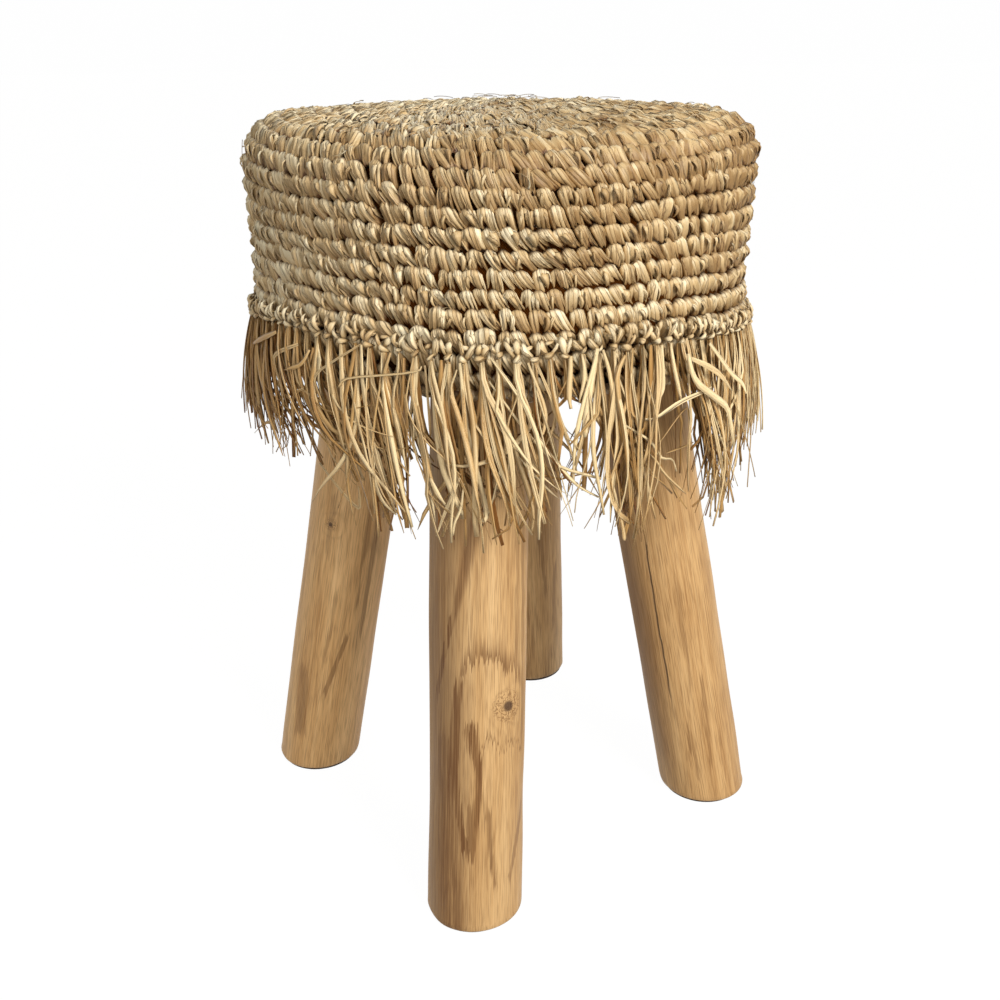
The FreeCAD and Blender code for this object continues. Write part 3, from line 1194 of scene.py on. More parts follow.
def unit_tube(around: int, rings: int) -> BMesh:
    """A closed cylinder of radius 1 from Z 0 to 1, to be bent into a strip or a stem.

    Args:
        around: Points round its section.
        rings: Stretches along it.

    Returns:
        The bmesh.
    """
    shape = bmesh.new()
    bmesh.ops.create_cone(shape, cap_ends=True, segments=around, radius1=1.0, radius2=1.0, depth=1.0)
    sides = [edge for edge in shape.edges if abs(edge.verts[0].co.z - edge.verts[1].co.z) > 0.5]
    bmesh.ops.subdivide_edges(shape, edges=sides, cuts=rings - 1, use_grid_fill=True)
    bmesh.ops.translate(shape, verts=shape.verts, vec=(0, 0, 0.5))
    return shape


def strip_mesh(name: str, around: int, rings: int) -> Mesh:
    """A straight strip of unit size, to be bent many times: X across, Y outwards, Z from 0 to 1 along it.

    Args:
        name: The mesh's name.
        around: Points round its section.
        rings: Stretches along it.

    Returns:
        The mesh, with the strip map.
    """
    shape = unit_tube(around, rings)
    layer = strip_layer(shape)
    for face in shape.faces:
        for loop in face.loops:
            loop[layer].uv = (0.5 + 0.5 * loop.vert.co.x, loop.vert.co.z)
    return small_mesh(name, shape)


def read_round(table: Sequence[tuple[float, float]], azimuth: float) -> float:
    """The value at an azimuth in degrees, read from a table round the seat."""
    places, values = zip(*table)
    return float(np.interp((azimuth + 180) % 360 - 180, places, values))


@dataclass(frozen=True)
class KnotLine:
    """Where the round of knots runs: its height, and how many millimetres it rises above that."""

    height: float
    rises: Table = (
        (-180, 0), (-165, 2), (-150, 6), (-134, 10), (-124, 10.5), (-118, 9), (-109, 8.5), (-102, 5),
        (-96, 4.5), (-90, 2.5), (-84, 4.5), (-75, 3.5), (-66, 4.8), (-58, 6), (-49, 5.5), (-42, 4),
        (-36, 2.5), (-28, 1),
        (-20, -0.5), (-12, -2), (-4, -5.5), (10, -6), (60, 0), (120, 2), (180, 0),
    )

    def rise(self, azimuth: float) -> float:
        """How far the knots stand above their line at an azimuth in degrees."""
        return read_round(self.rises, azimuth) * MM


class Gathering:
    """Many bent copies of small meshes, gathered into one piece."""

    def __init__(self, name: str) -> None:
        """Starts an empty gathering with the piece's name."""
        self.name = name
        self.copies: list[tuple[Mesh, Bend, float]] = []

    def add(self, template: Mesh, bend: Bend, shade: float) -> None:
        """Adds a copy of a mesh, with the bend that takes it to its place and its own tone, 0 to 1."""
        self.copies.append((template, bend, shade))

    def build(self) -> Object:
        """Makes the piece.

        Returns:
            Its object, not yet dressed.
        """
        shape = bmesh.new()
        for template, _, _ in self.copies:
            shape.from_mesh(template)
        verts = iter(list(shape.verts))
        shades: list[float] = []
        for template, bend, shade in self.copies:
            count = len(template.vertices)
            shades += [shade] * count
            for _ in range(count):
                vert = next(verts)
                vert.co = bend(vert.co)
        shape.normal_update()
        piece = Piece.from_bmesh(self.name, shape)
        layer = piece.data.attributes.new(SHADE, "FLOAT", "POINT")
        layer.data.foreach_set("value", np.array(shades, np.float32))
        return piece


@dataclass
class CrochetCover:
    """The crocheted raffia cover: one long spiral of stitches from the crown down to the turned-in hem.

    Leans and pitches are in degrees. Scales are waves of unevenness, round the seat and in a metre of cover.
    """

    profile: CoverProfile
    knot_line: KnotLine
    chance: Chance
    hood: HoodForm = HoodForm()
    flap: LobeForm = LobeForm(
        start=((-0.9, 1.2), (4.6, 0.5)), end=((1.8, 1.2), (-4.8, 0.6)), half_width=(2.5, 0.8),
        arch=(4.3, 0.3), half_thickness=(0.5, 0.15), bow=(0.5, 0.7), taper=(0.88, 0.1),
        roll=(0.1, 0.15), skew=0.7,
    )
    leg: LobeForm = LobeForm(
        start=((2.0, 1.0), (4.2, 0.8)), end=((2.8, 1.2), (-5.2, 0.5)), half_width=(1.0, 0.3),
        arch=(3.9, 0.4), half_thickness=(0.6, 0.15), bow=(0.9, 0.7), taper=(0.3, 0.2),
    )
    flap_share: float = 0.22
    leg_share: float = 0.35
    template_count: int = 36
    stitch_width: float = 8.7 * MM
    width_spread: float = 0.2
    crown_width: float = 0.8
    closeness: float = 1.1
    top_rounds: float = 15.4
    wall_rounds: float = 7.6
    hem_rounds: float = 5.0
    start_distance: float = 3 * MM
    wall_depth: float = 5.9 * MM
    top_depth: float = 4.6 * MM
    depth_spread: float = 0.35
    lift: float = 1.8 * MM
    saddle: float = 3.0 * MM
    saddle_side: float = math.radians(8.6)
    waver: float = 2.0 * MM
    waver_length: float = 70 * MM
    waver_scale: float = 50.0
    drift_scale: tuple[float, float] = (2.0, 14.0)
    bulge: float = 0.8 * MM
    waist: float = 1.6 * MM
    waist_height: float = 375 * MM
    waist_reach: float = 22 * MM
    flat_radius: float = 100 * MM
    full_radius: float = 128 * MM
    flattening: float = 0.6
    puff: float = 3.9 * MM
    corner_side: float = math.radians(-172)
    corner_rise: float = 1.5 * MM
    corner_draw: float = 2.6 * MM
    loose_radius: float = 15 * MM
    slant: float = 18.0
    slant_scale: tuple[float, float] = (0.8, 90.0)
    lean: Spread = (4.0, 9.0)
    pitch: float = 8.0
    height_spread: float = 0.07
    swelling: Spread = (1.04, 0.18)
    shade: Spread = (0.45, 0.3)
    # Painted shade and light: stitches are darkened round one side and over the upper wall and shoulder, and
    # lightened on the crown.
    shaded_side: float = math.radians(-10)
    side_shade: float = 0.5
    shade_by_height: Table = (
        (0.380, 0.0), (0.400, 0.2), (0.415, 0.75), (0.436, 0.8), (0.448, 0.2), (0.456, -0.5),
    )
    wisps: int = 120
    wisp_height: float = 3.6 * MM
    wisp_way: Spread = (-0.6, 2.6)
    wisp_length: Spread = (9.0, 5.0)
    wisp_rise: Spread = (0.7, 0.6)
    wisp_curl: float = 1.6
    wisp_half_width: Spread = (0.5, 0.25)
    wisp_half_thickness: float = 0.15 * MM

    def stitch_mesh(self, number: int) -> Mesh:
        """One form of stitch: its body, with a flap or a leg over some.

        Args:
            number: The form's number.

        Returns:
            The mesh.
        """
        parts: list[Lobe | Hood] = [self.hood.draw(self.chance)]
        if self.chance.random() < self.flap_share:
            parts.append(self.flap.draw(self.chance))
        elif self.chance.random() < self.leg_share:
            parts.append(self.leg.draw(self.chance, self.chance.choice((-1, 1))))
        return lobe_mesh("stitch_%d" % number, parts)

    def spiral(self, first: float, last: float, rounds: float, turned: float) -> Iterator[Scale]:
        """The stitches of a stretch of the cover.

        Args:
            first: Where it starts along the profile.
            last: Where it ends.
            rounds: How many rounds it has.
            turned: How many rounds come before it.

        Yields:
            Distance along the profile, azimuth in radians and width of each stitch.
        """
        pitch = (last - first) / rounds
        angle = 0.0
        while angle < rounds * math.tau:
            distance = first + pitch * angle / math.tau
            around = max(self.profile.spot(distance).radius, self.stitch_width)
            crowding = 1.0 if around > self.full_radius else self.crown_width
            width = self.stitch_width * self.chance.vary(1.0, self.width_spread) * crowding
            yield distance, angle + turned * math.tau, width
            angle += width / around

    def painted_shade(self, distance: float, azimuth: float) -> float:
        """Painted shade at a place, round one side and over the shoulder, and painted light on the crown.

        Args:
            distance: Where it is along the profile.
            azimuth: Where it is round the seat, in radians.

        Returns:
            How much darker its tone is.
        """
        heights, amounts = zip(*self.shade_by_height)
        near = 0.5 + 0.5 * math.cos(azimuth - self.shaded_side)
        amount = float(np.interp(self.profile.spot(distance).height, heights, amounts))
        return self.side_shade * near**3 + amount * (near if amount > 0 else 1.0)

    def flatness(self, radius: float) -> float:
        """How far a stitch is pressed flat, which the sitter does to the crown."""
        return float(np.interp(radius, (self.flat_radius, self.full_radius), (self.flattening, 1.0)))

    def hollow(self, height: float) -> float:
        """How far the wall is drawn in above the knots."""
        return self.waist * math.exp(-(((height - self.waist_height) / self.waist_reach) ** 2))

    def wave(self, azimuth: float) -> float:
        """How many waves of unevenness there are round the seat up to an azimuth in radians."""
        return azimuth * self.profile.radius / self.waver_length

    def frame_at(self, distance: float, azimuth: float) -> Matrix:
        """The frame of a stitch, with the cover's own unevenness: wavy rounds, bulges, saddle and waist.

        Args:
            distance: Where it is along the profile.
            azimuth: Where it is round the seat, in radians.

        Returns:
            The matrix from the stitch's own frame.
        """
        spot = self.profile.spot(distance)
        level = Vector((math.cos(azimuth), math.sin(azimuth), 0))
        turn_scale, along_scale = self.drift_scale
        turn = (math.cos(azimuth) * turn_scale, math.sin(azimuth) * turn_scale)
        ring = Vector((*turn, distance * along_scale))
        ripple = Vector((self.wave(azimuth), distance * self.waver_scale, 3.0))
        drift = noise.noise(ring) + 0.4 * noise.noise(ripple)
        marks = (self.profile.wall_start, self.profile.distance_at(self.knot_line.height), self.profile.end)
        rise = self.knot_line.rise(math.degrees(azimuth)) * float(np.interp(distance, marks, (0, 1, 0)))
        moved = self.profile.spot(min(max(distance + drift * self.waver - rise, 0), self.profile.end))
        upper = min(1.0, max(0.0, (spot.height - self.profile.wall_top) / self.profile.shoulder + 0.6))
        inset = self.wall_depth + (self.top_depth - self.wall_depth) * upper
        swelling = self.bulge * noise.noise(ring * 1.7 + Vector((7, 0, 0)))
        swelling += self.puff * (1 - self.flatness(spot.radius))
        frame = moved.matrix(azimuth, inset - swelling + self.chance.vary(0, self.depth_spread) * MM)
        far = (spot.radius / self.profile.radius) ** 2
        corner = upper * far * max(0.0, math.cos(azimuth - self.corner_side)) ** 2
        frame.translation.z += upper * far * self.saddle * math.cos(2 * (azimuth - self.saddle_side))
        frame.translation.z += corner * self.corner_rise
        frame.translation -= level * (self.hollow(spot.height) + corner * self.corner_draw)
        return frame

    def add_stitches(
        self, gathering: Gathering, stitches: Iterator[Scale], templates: Sequence[Mesh]
    ) -> None:
        """Adds every stitch of a stretch to a gathering.

        Args:
            gathering: The gathering.
            stitches: Distance along the profile, azimuth and width of each.
            templates: The forms of stitch.
        """
        vary = self.chance.vary
        for distance, azimuth, width in stitches:
            radius = self.profile.spot(distance).radius
            on_top = distance < self.profile.lengths[0]
            looseness = min(2.0, radius / self.loose_radius) if on_top else 1.0
            sway = Vector((self.wave(azimuth) * self.slant_scale[0], distance * self.slant_scale[1], 9.0))
            slant = self.slant * noise.noise(sway) + vary(self.lean[0], self.lean[1] * looseness)
            lean = Matrix.Rotation(math.radians(slant), 4, "Z")
            pitch = Matrix.Rotation(math.radians(vary(0, self.pitch * looseness)), 4, "X")
            squeeze = min(1.0, radius / (2.5 * self.stitch_width) + 0.35)
            breadth = width / self.stitch_width * squeeze * self.closeness
            height, swell = vary(1.0, self.height_spread), vary(*self.swelling)
            size = Matrix.Diagonal((breadth, height, self.flatness(radius) * swell, 1))
            place = self.frame_at(distance, azimuth) @ lean @ pitch @ size
            template = self.chance.choice(templates)
            # Each stitch's tone is a chance shade less the painted shade of its side and shoulder.
            gathering.add(template, place.__matmul__, vary(*self.shade) - self.painted_shade(distance, azimuth))

    def wisp(self, distance: float, azimuth: float) -> Bend:
        """A loose end that has worked out of the cover, bent up from it in a low arc.

        Args:
            distance: Where it starts along the profile.
            azimuth: Where it starts round the seat, in radians.

        Returns:
            The bend for a unit strip.
        """
        vary = self.chance.vary
        frame = self.frame_at(distance, azimuth) @ Matrix.Translation((0, 0, self.wisp_height))
        way, length, rise = vary(*self.wisp_way), vary(*self.wisp_length) * MM, vary(*self.wisp_rise) * MM
        curl, half = vary(0, self.wisp_curl), vary(*self.wisp_half_width) * MM

        def bend(point: Vector) -> Vector:
            """Lays the wisp.

            Args:
                point: A point of the unit strip.

            Returns:
                Its place.
            """
            turn = way + curl * point.z
            along = Vector((math.cos(turn), math.sin(turn), 0)) * (length * point.z)
            aside = Vector((-math.sin(turn), math.cos(turn), 0)) * (half * point.x * (1 - 0.7 * point.z))
            lift = rise * math.sin(math.pi * 0.7 * point.z) + self.wisp_half_thickness * point.y
            return frame @ (along + aside + Vector((0, 0, lift)))

        return bend

    def add_wisps(self, gathering: Gathering, first: float, last: float) -> None:
        """Scatters loose ends over a stretch.

        Args:
            gathering: The gathering.
            first: Where the stretch starts along the profile.
            last: Where it ends.
        """
        strip = strip_mesh("wisp", 4, 5)
        for _ in range(int(self.wisps * (last - first) / self.profile.end)):
            distance = self.chance.vary((first + last) / 2, (last - first) / 2)
            bend = self.wisp(distance, self.chance.vary(0, math.pi))
            gathering.add(strip, bend, self.chance.random())

    def build(self, material: Material) -> None:
        """Makes the three pieces of the cover.

        Args:
            material: Its finish.
        """
        templates = [self.stitch_mesh(number) for number in range(self.template_count)]
        wall_start = self.profile.wall_start - self.lift
        fringe = self.profile.distance_at(self.knot_line.height) - self.lift
        turned = 0.0
        stretches = (
            ("crochet_top", self.start_distance, wall_start, self.top_rounds),
            ("crochet_wall", wall_start, fringe, self.wall_rounds),
            ("crochet_hem", fringe, self.profile.end, self.hem_rounds),
        )
        for node, first, last, rounds in stretches:
            gathering = Gathering("raffia_" + node)
            self.add_stitches(gathering, self.spiral(first, last, rounds, turned), templates)
            turned += rounds
            self.add_wisps(gathering, first, last)
            piece = Piece.dress(gathering.build(), material, "raffia", [node])


def smooth_line(points: np.ndarray, count: int) -> np.ndarray:
    """Places evenly along a smooth line through a few points.

    Args:
        points: The points, one in each row.
        count: How many places.

    Returns:
        The places, one in each row.
    """
    slopes = np.gradient(points, axis=0)
    marks = np.linspace(0, len(points) - 1, count)
    low = np.minimum(marks.astype(int), len(points) - 2)
    share = (marks - low)[:, None]
    first, second = points[low], points[low + 1]
    leaving, coming = slopes[low] * share * (1 - share) ** 2, slopes[low + 1] * share**2 * (share - 1)
    return first + (second - first) * share**2 * (3 - 2 * share) + leaving + coming


@dataclass(frozen=True)
class Opening:
    """A hole in the fringe that its strips keep out of.

    Its place is degrees round and metres up, with half its size in each.
    """

    azimuth: float
    height: float
    half_turn: float
    half_height: float

    def holds(self, azimuth: float, height: float) -> bool:
        """Whether a place is inside the hole."""
        aside = ((azimuth - self.azimuth + 180) % 360 - 180) / self.half_turn
        return aside**2 + ((height - self.height) / self.half_height) ** 2 < 1


@dataclass(frozen=True)
class Stray:
    """A strip that lies its own way: width, tone and distance out from the seat at both ends.

    It runs through places given in degrees round the seat and in height. Lengths are in millimetres.
    """

    width: float
    shade: float
    out: tuple[float, float]
    turns: tuple[float, ...]
    heights: tuple[float, ...]


STRAYS = (
    Stray(1.5, 0.8, (4, 8), (-96.2, -97.8, -110.7, -113.3), (342, 339, 333, 327)),
    Stray(1.8, 0.6, (3, 9), (-108.7, -118.5, -120.2, -120.4, -119.8, -114.5),
          (350, 334, 328, 322, 314, 299)),
    Stray(2.8, 0.45, (3, 9), (-120.8, -123.1, -122.7, -120.4, -112.5, -109.7),
          (344, 327, 318, 311, 293, 278)),
    Stray(2.6, 0.55, (4, 9), (-121.5, -123.4, -127.9), (343, 335, 330)),
    Stray(2.2, 0.65, (6, 8), (-123.1, -125.9, -127.1, -127.2, -126.2, -126.1),
          (322, 318, 311, 301, 292, 283)),
    Stray(3, 0.6, (3, 8), (-125.5, -132.8, -133.8, -130.5, -131.3), (344, 336, 330, 315, 292)),
    Stray(3.8, 0.45, (2, 5), (-112.5, -112.5, -112.5), (344, 319, 290)),
    Stray(2.5, 0.95, (3, 9), (-108.6, -108.2, -105.9, -101.8), (350, 328, 295, 264)),
    Stray(2, 0.85, (3, 8), (-108.4, -105.4, -101.2), (320, 291, 262)),
    Stray(2.6, 0.9, (7, 9), (-105.8, -106.5, -106, -104.5, -101.8), (296, 286, 277, 269, 263)),
    Stray(2.9, 0.55, (2, 6), (-102.7, -103.8, -103.8, -102.2), (347, 338, 330, 310)),
    Stray(3.2, 0.5, (2, 8), (-99.9, -100.3, -102, -101.9, -100.5), (345, 324, 303, 290, 273)),
    Stray(2, 0.6, (3, 8), (-108, -105.1, -98.8), (323, 306, 285)),
    Stray(2.2, 0.6, (6, 10), (-120.3, -111.2, -109.7, -109.4), (282, 263, 268, 276)),
    Stray(1.4, 0.7, (4, 9), (-120.6, -114.8, -109.9), (313, 297, 278)),
    Stray(1.4, 0.6, (4, 9), (-122, -118.5, -115.8, -110.2), (306, 298, 287, 276)),
    Stray(2.4, 0.55, (5, 8), (-136.1, -139, -148.6), (290, 293, 279)),
    Stray(3.6, 0.3, (1, 5), (-158.1, -157.8, -154.1, -146.6, -144.4), (323, 309, 304, 299, 291)),
    Stray(3.6, 0.55, (3, 5), (-133.4, -139.2, -145.8), (347, 341, 334)),
    Stray(2.4, 1, (3, 10), (-83.4, -77, -74.8, -70.7, -67.5, -63.6), (347, 322, 306, 290, 280, 273)),
    Stray(2, 0.9, (3, 10), (-83.8, -77.2, -72.4, -70.2, -63.2), (335, 310, 295, 290, 283)),
    Stray(3, 0.9, (3, 8), (-89.1, -87.8, -84.7, -85.1), (344, 308, 270, 262)),
    Stray(1.8, 0.75, (3, 9), (-86.6, -84.7, -80.8, -77.9), (320, 304, 286, 269)),
    Stray(3, 0.8, (3, 9), (-83.5, -82.1, -80.4, -76.7, -75.8, -76.3), (328, 318, 310, 278, 264, 257)),
    Stray(1.5, 0.8, (4, 5), (-89.6, -90.7, -87.6), (341, 328, 304)),
    Stray(2, 0.95, (8, 10), (-89.3, -92.2, -93.9), (286, 267, 254)),
    Stray(1.8, 0.9, (8, 10), (-88.6, -89.2, -90.4, -90.8), (283, 270, 262, 255)),
    Stray(2, 0.65, (5, 10), (-96.2, -90.1, -85.6), (308, 289, 261)),
    Stray(3.4, 0.45, (2, 6), (-92.6, -92.5, -90.3), (345, 327, 292)),
    Stray(1.5, 0.9, (7, 11), (-78.5, -74, -71.4), (297, 282, 275)),
    Stray(2.4, 0.75, (3, 8), (-76.6, -73.8, -73.6, -74.4), (344, 323, 314, 307)),
    Stray(2, 0.6, (3, 8), (-74.9, -70.9, -71.1), (343, 315, 303)),
    Stray(3.4, 0.75, (2, 5), (-68.5, -68.9, -68.7), (346, 327, 320)),
    Stray(3, 0.9, (3, 8), (-63.7, -67.5, -68.4), (346, 308, 283)),
    Stray(2.4, 0.8, (4, 8), (-63.6, -65.9, -68.1), (325, 312, 291)),
    Stray(1.6, 0.6, (2, 4), (-95.8, -95.2, -95), (342, 318, 306)),
    Stray(2.8, 0.85, (8, 10), (-94.9, -93.4, -92), (285, 277, 272)),
    Stray(2, 0.9, (3, 9), (-99.2, -96.1, -94), (318, 292, 261)),
    Stray(3, 1, (9, 7), (-37.2, -45.6, -51.3, -53.7), (319, 316, 310, 310)),
    Stray(4.6, 0.9, (8, 13), (-44.4, -43.5, -41.5, -35.3, -32.4, -30.1), (341, 331, 323, 311, 303, 282)),
    Stray(3.6, 0.95, (8, 13), (-43.6, -38.6, -35.2, -32.4), (338, 331, 324, 315)),
    Stray(3.4, 1, (7, 13), (-37.9, -30.9, -26.6, -26), (343, 324, 315, 309)),
    Stray(4, 0.6, (4, 6), (-36.2, -35.2, -35.7), (312, 302, 283)),
    Stray(1.8, 0.9, (7, 11), (-58.2, -52.6, -50.1, -47.7, -46.8), (309, 298, 288, 286, 279)),
    Stray(2.2, 0.75, (6, 11), (-57, -54.1, -51.4), (300, 284, 255)),
    Stray(1.4, 0.75, (8, 12), (-54, -51.7, -49.5, -44.4), (294, 288, 279, 265)),
    Stray(1.2, 0.65, (8, 12), (-49.6, -45.9, -43.9), (282, 265, 256)),
    Stray(3.4, 0.55, (3, 9), (-57.8, -59.4, -59.6, -57.3, -56.6), (344, 337, 326, 286, 251)),
    Stray(2.8, 0.8, (3, 8), (-62.4, -61.1, -60.6, -63.2), (348, 335, 315, 289)),
    Stray(2.6, 0.8, (7, 10), (-60.6, -58.3, -58), (280, 254, 246)),
    Stray(2.4, 0.65, (6, 9), (-56.8, -56, -56.5, -57.8), (287, 272, 261, 248)),
    Stray(4, 0.9, (3, 7), (-63.5, -65.3, -66.1), (349, 323, 305)),
    Stray(2.2, 0.7, (3, 8), (-56.1, -56.6, -56.5, -56), (347, 326, 315, 312)),
    Stray(2.8, 0.85, (2, 5), (-49.1, -48.6, -49.3, -51.3), (346, 327, 321, 317)),
    Stray(3.2, 0.45, (2, 3), (-51.8, -51.7, -51.7), (347, 335, 323)),
    Stray(1.4, 0.8, (6, 9), (-26.1, -23.9, -24.7, -27.9, -34.1, -38.6), (313, 299, 292, 283, 260, 238)),
    Stray(5, 0.7, (6, 7), (-31.5, -29.5, -28), (266, 253, 239)),
    Stray(1.2, 0.3, (3, 4), (-49.2, -44.4, -42.2), (293, 306, 310)),
    Stray(1.2, 0.3, (3, 4), (-47.1, -43.1, -39.6), (287, 288, 289)),
    Stray(3, 0.6, (2, 6), (-42.6, -42.2, -42.8), (347, 338, 329)),
)


@dataclass
class Ribbon:
    """The lie of one strip of raffia: its places, its greatest width, and how that swells and fades."""

    places: Sequence[Vector]
    width: float
    twist: tuple[float, float]
    leaf: float
    tip: float
    fade_from: float
    thickness: float
    cup: float

    def frames(self) -> list[tuple[Vector, Vector, Vector]]:
        """Turns the strip about its line.

        Returns:
            The place, the side and the face of the strip all along it.
        """
        last = len(self.places) - 1
        frames = []
        for number, place in enumerate(self.places):
            way = (self.places[min(number + 1, last)] - self.places[max(number - 1, 0)]).normalized()
            out = Vector((place.x, place.y, 0)).normalized()
            turn = self.twist[0] + (self.twist[1] - self.twist[0]) * number / last
            side = Matrix.Rotation(math.radians(turn), 3, way) @ out.cross(way).normalized()
            frames.append((place, side, way.cross(side)))
        return frames

    def bend(self) -> Bend:
        """Lays a unit strip here.

        Returns:
            The bend for it.
        """
        frames = self.frames()
        steps = len(frames) - 1

        def lay(point: Vector) -> Vector:
            """Lays one point.

            Args:
                point: A point of the unit strip.

            Returns:
                Its place.
            """
            number = min(int(point.z * steps + 0.5), steps)
            place, side, facing = frames[number]
            share = number / steps
            swell = 0.35 + 0.65 * math.sin(math.pi * min(0.9, share * self.leaf + 0.12))
            fade = 1 - (1 - self.tip) * max(0.0, share - self.fade_from) / (1 - self.fade_from)
            half = self.width / 2 * swell * fade
            bow = self.cup * half * (1 - point.x * point.x)
            return place + side * (half * point.x) + facing * (self.thickness * point.y + bow)

        return lay


@dataclass
class Fringe:
    """The round of knots and the strips that hang from them.

    Widths and spreads are in millimetres, and leans, kinks, curls, tilts and twists in degrees.
    """

    radius: float
    line: KnotLine
    chance: Chance
    arm: LobeForm = LobeForm(
        start=((3.4, 1.8), (6.2, 1.8)), end=((0.2, 1.0), (-2.6, 0.9)), half_width=(1.35, 0.45),
        arch=(2.8, 0.8), half_thickness=0.8, bow=(0.2, 1.6), taper=0.1, roll=(0.1, 0.4),
    )
    wrap_rise: float = -1.6
    wrap_tilt: float = 1.8
    wrap_reach: Spread = (2.6, 0.6)
    bar_reach: Spread = (2.6, 1.0)
    bar_rise: Spread = (2.6, 1.6)
    knot_forms: int = 16
    knot_lean: float = 26.0
    knot_size: Spread = (1.12, 0.16)
    knot_inset: float = 2.4 * MM
    height_spread: float = 1.2
    tassels: int = 112
    strips_per_tassel: tuple[int, int] = (11, 15)
    widths: tuple[float, ...] = (0.7, 1.0, 1.3, 1.7, 2.1, 2.5, 2.9, 3.3)
    steps: int = 10
    tries: int = 7
    shortening: float = 0.88
    stiff_width: float = 2.4
    root_drop: float = 3.5 * MM
    root_inset: float = 1.6 * MM
    tassel_depth: float = 2.4
    root_spread: float = 0.9
    drop_spread: float = 1.0
    raggedness: float = 0.42
    bow: float = 11.0
    sweep: float = 5.0
    wild_sweep: float = 30.0
    wild_share: float = 0.12
    root_tilt: Spread = (2.0, 4.0)
    layer_tilt: float = 14.0
    tip_tilt: Spread = (-2.0, 8.0)
    wobble: float = 10.0
    waves: Spread = (5.5, 2.5)
    kink: float = 40.0
    kink_share: float = 0.22
    kink_at: Spread = (0.5, 0.25)
    curl: float = 14.0
    wild_curl: float = 150.0
    curl_share: float = 0.1
    root_twist: float = 38.0
    tip_twist: float = 55.0
    leaf: Spread = (0.8, 0.3)
    tips: tuple[float, ...] = (0.1, 0.3, 0.6, 0.8, 0.9, 1.0)
    fades: tuple[float, ...] = (0.45, 0.7, 0.8, 0.9)
    thickness: Spread = (0.22, 0.06)
    cup: float = 0.6
    stray_twist: float = 0.3
    tangle_side: float = -150.0
    tangle_turn: float = 25.0
    tangle: float = 0.6
    # How much painted shade darkens the strips round the tangled side.
    tangle_shade: float = 0.6
    reaches: Table = (
        (-180, 58), (-157, 64), (-143, 74), (-132, 80), (-125, 78), (-112, 100), (-95, 98), (-80, 97),
        (-70, 76), (-63, 84), (-57, 110), (-47, 92), (-36, 106), (-27, 104), (-20, 88), (-12, 70), (0, 68),
        (40, 82), (100, 72), (180, 58),
    )
    sweeps: Table = (
        (-180, 8), (-157, 26), (-143, 30), (-130, 36), (-116, 30), (-107, 22), (-99, 10), (-92, 6),
        (-84, 14), (-77, 20), (-71, 14), (-66, -2), (-60, 0), (-54, -4), (-49, -14), (-45, 16), (-39, 20),
        (-34, 0), (-26, -8), (-12, -10), (0, -8), (30, 10), (75, -14), (120, 12), (180, 8),
    )
    openings: tuple[Opening, ...] = (
        Opening(-95.0, 0.317, 1.3, 0.009), Opening(-98.0, 0.279, 2.0, 0.013),
        Opening(-68.0, 0.315, 2.2, 0.007), Opening(-69.4, 0.293, 1.2, 0.006),
        Opening(-47.6, 0.303, 3.6, 0.016), Opening(-63.7, 0.304, 1.0, 0.007),
        Opening(-40.6, 0.300, 1.4, 0.016), Opening(-38.0, 0.273, 1.8, 0.015),
        Opening(-117.3, 0.323, 1.1, 0.008), Opening(-120.8, 0.295, 1.4, 0.008),
        Opening(62.0, 0.300, 3.0, 0.014), Opening(140.0, 0.305, 3.0, 0.012),
    )

    def blocked(self, places: Sequence[Vector]) -> bool:
        """Tells whether a line runs through one of the openings.

        Args:
            places: The line's places.

        Returns:
            Whether it does.
        """
        for place in places:
            azimuth = math.degrees(math.atan2(place.y, place.x))
            if any(opening.holds(azimuth, place.z) for opening in self.openings):
                return True
        return False

    def hang(
        self, azimuth: float, root: float, length: float, leans: Sequence[float], tilts: tuple[float, float]
    ) -> list[Vector]:
        """The line of a strip that hangs from a knot.

        Args:
            azimuth: Where it starts round the seat, in degrees.
            root: How far its start is from the axis.
            length: Its length.
            leans: Its lean along the round at its start, below the knot and at its tip, in degrees.
            tilts: Its lean away from the seat at its start and its tip, in degrees.

        Returns:
            Its places.
        """
        vary = self.chance.vary
        height = self.line.height + self.line.rise(azimuth) - self.root_drop + vary(0, self.drop_spread) * MM
        at = Vector((0, root, height))
        wobble, wave, waves = vary(0, self.wobble), vary(math.pi, math.pi), vary(*self.waves)
        kink = vary(0, self.kink) if self.chance.random() < self.kink_share else 0.0
        curl = vary(0, self.wild_curl if self.chance.random() < self.curl_share else self.curl)
        kink_at = vary(*self.kink_at)
        places = []
        for number in range(self.steps + 1):
            share = number / self.steps
            turn = math.radians(azimuth) + at.x / root
            places.append(Vector((at.y * math.cos(turn), at.y * math.sin(turn), at.z)))
            lean = float(np.interp(share, (0, 0.2, 0.7), leans))
            lean += wobble * math.sin(wave + waves * share) + (kink if share > kink_at else 0.0)
            lean += curl * max(0.0, share - 0.55) ** 2 / 0.2
            tilt = tilts[0] + (tilts[1] - tilts[0]) * share
            lean, tilt = math.radians(lean), math.radians(tilt)
            way = Vector((math.sin(lean), math.cos(lean) * math.sin(tilt), -math.cos(lean) * math.cos(tilt)))
            at += way * (length / self.steps)
        return places

    def ribbon(self, places: Sequence[Vector], width: float, looseness: float = 1.0) -> Ribbon:
        """A strip along a line of places, with a chance twist and shape.

        Args:
            places: The places.
            width: Its greatest width.
            looseness: How much of the usual twist it may have.

        Returns:
            The strip.
        """
        vary = self.chance.vary
        return Ribbon(
            places=places,
            width=width,
            twist=(vary(0, self.root_twist) * looseness, vary(0, self.tip_twist) * looseness),
            leaf=vary(*self.leaf),
            tip=self.chance.choice(self.tips),
            fade_from=self.chance.choice(self.fades),
            thickness=vary(*self.thickness) * MM,
            cup=vary(0.0, self.cup),
        )

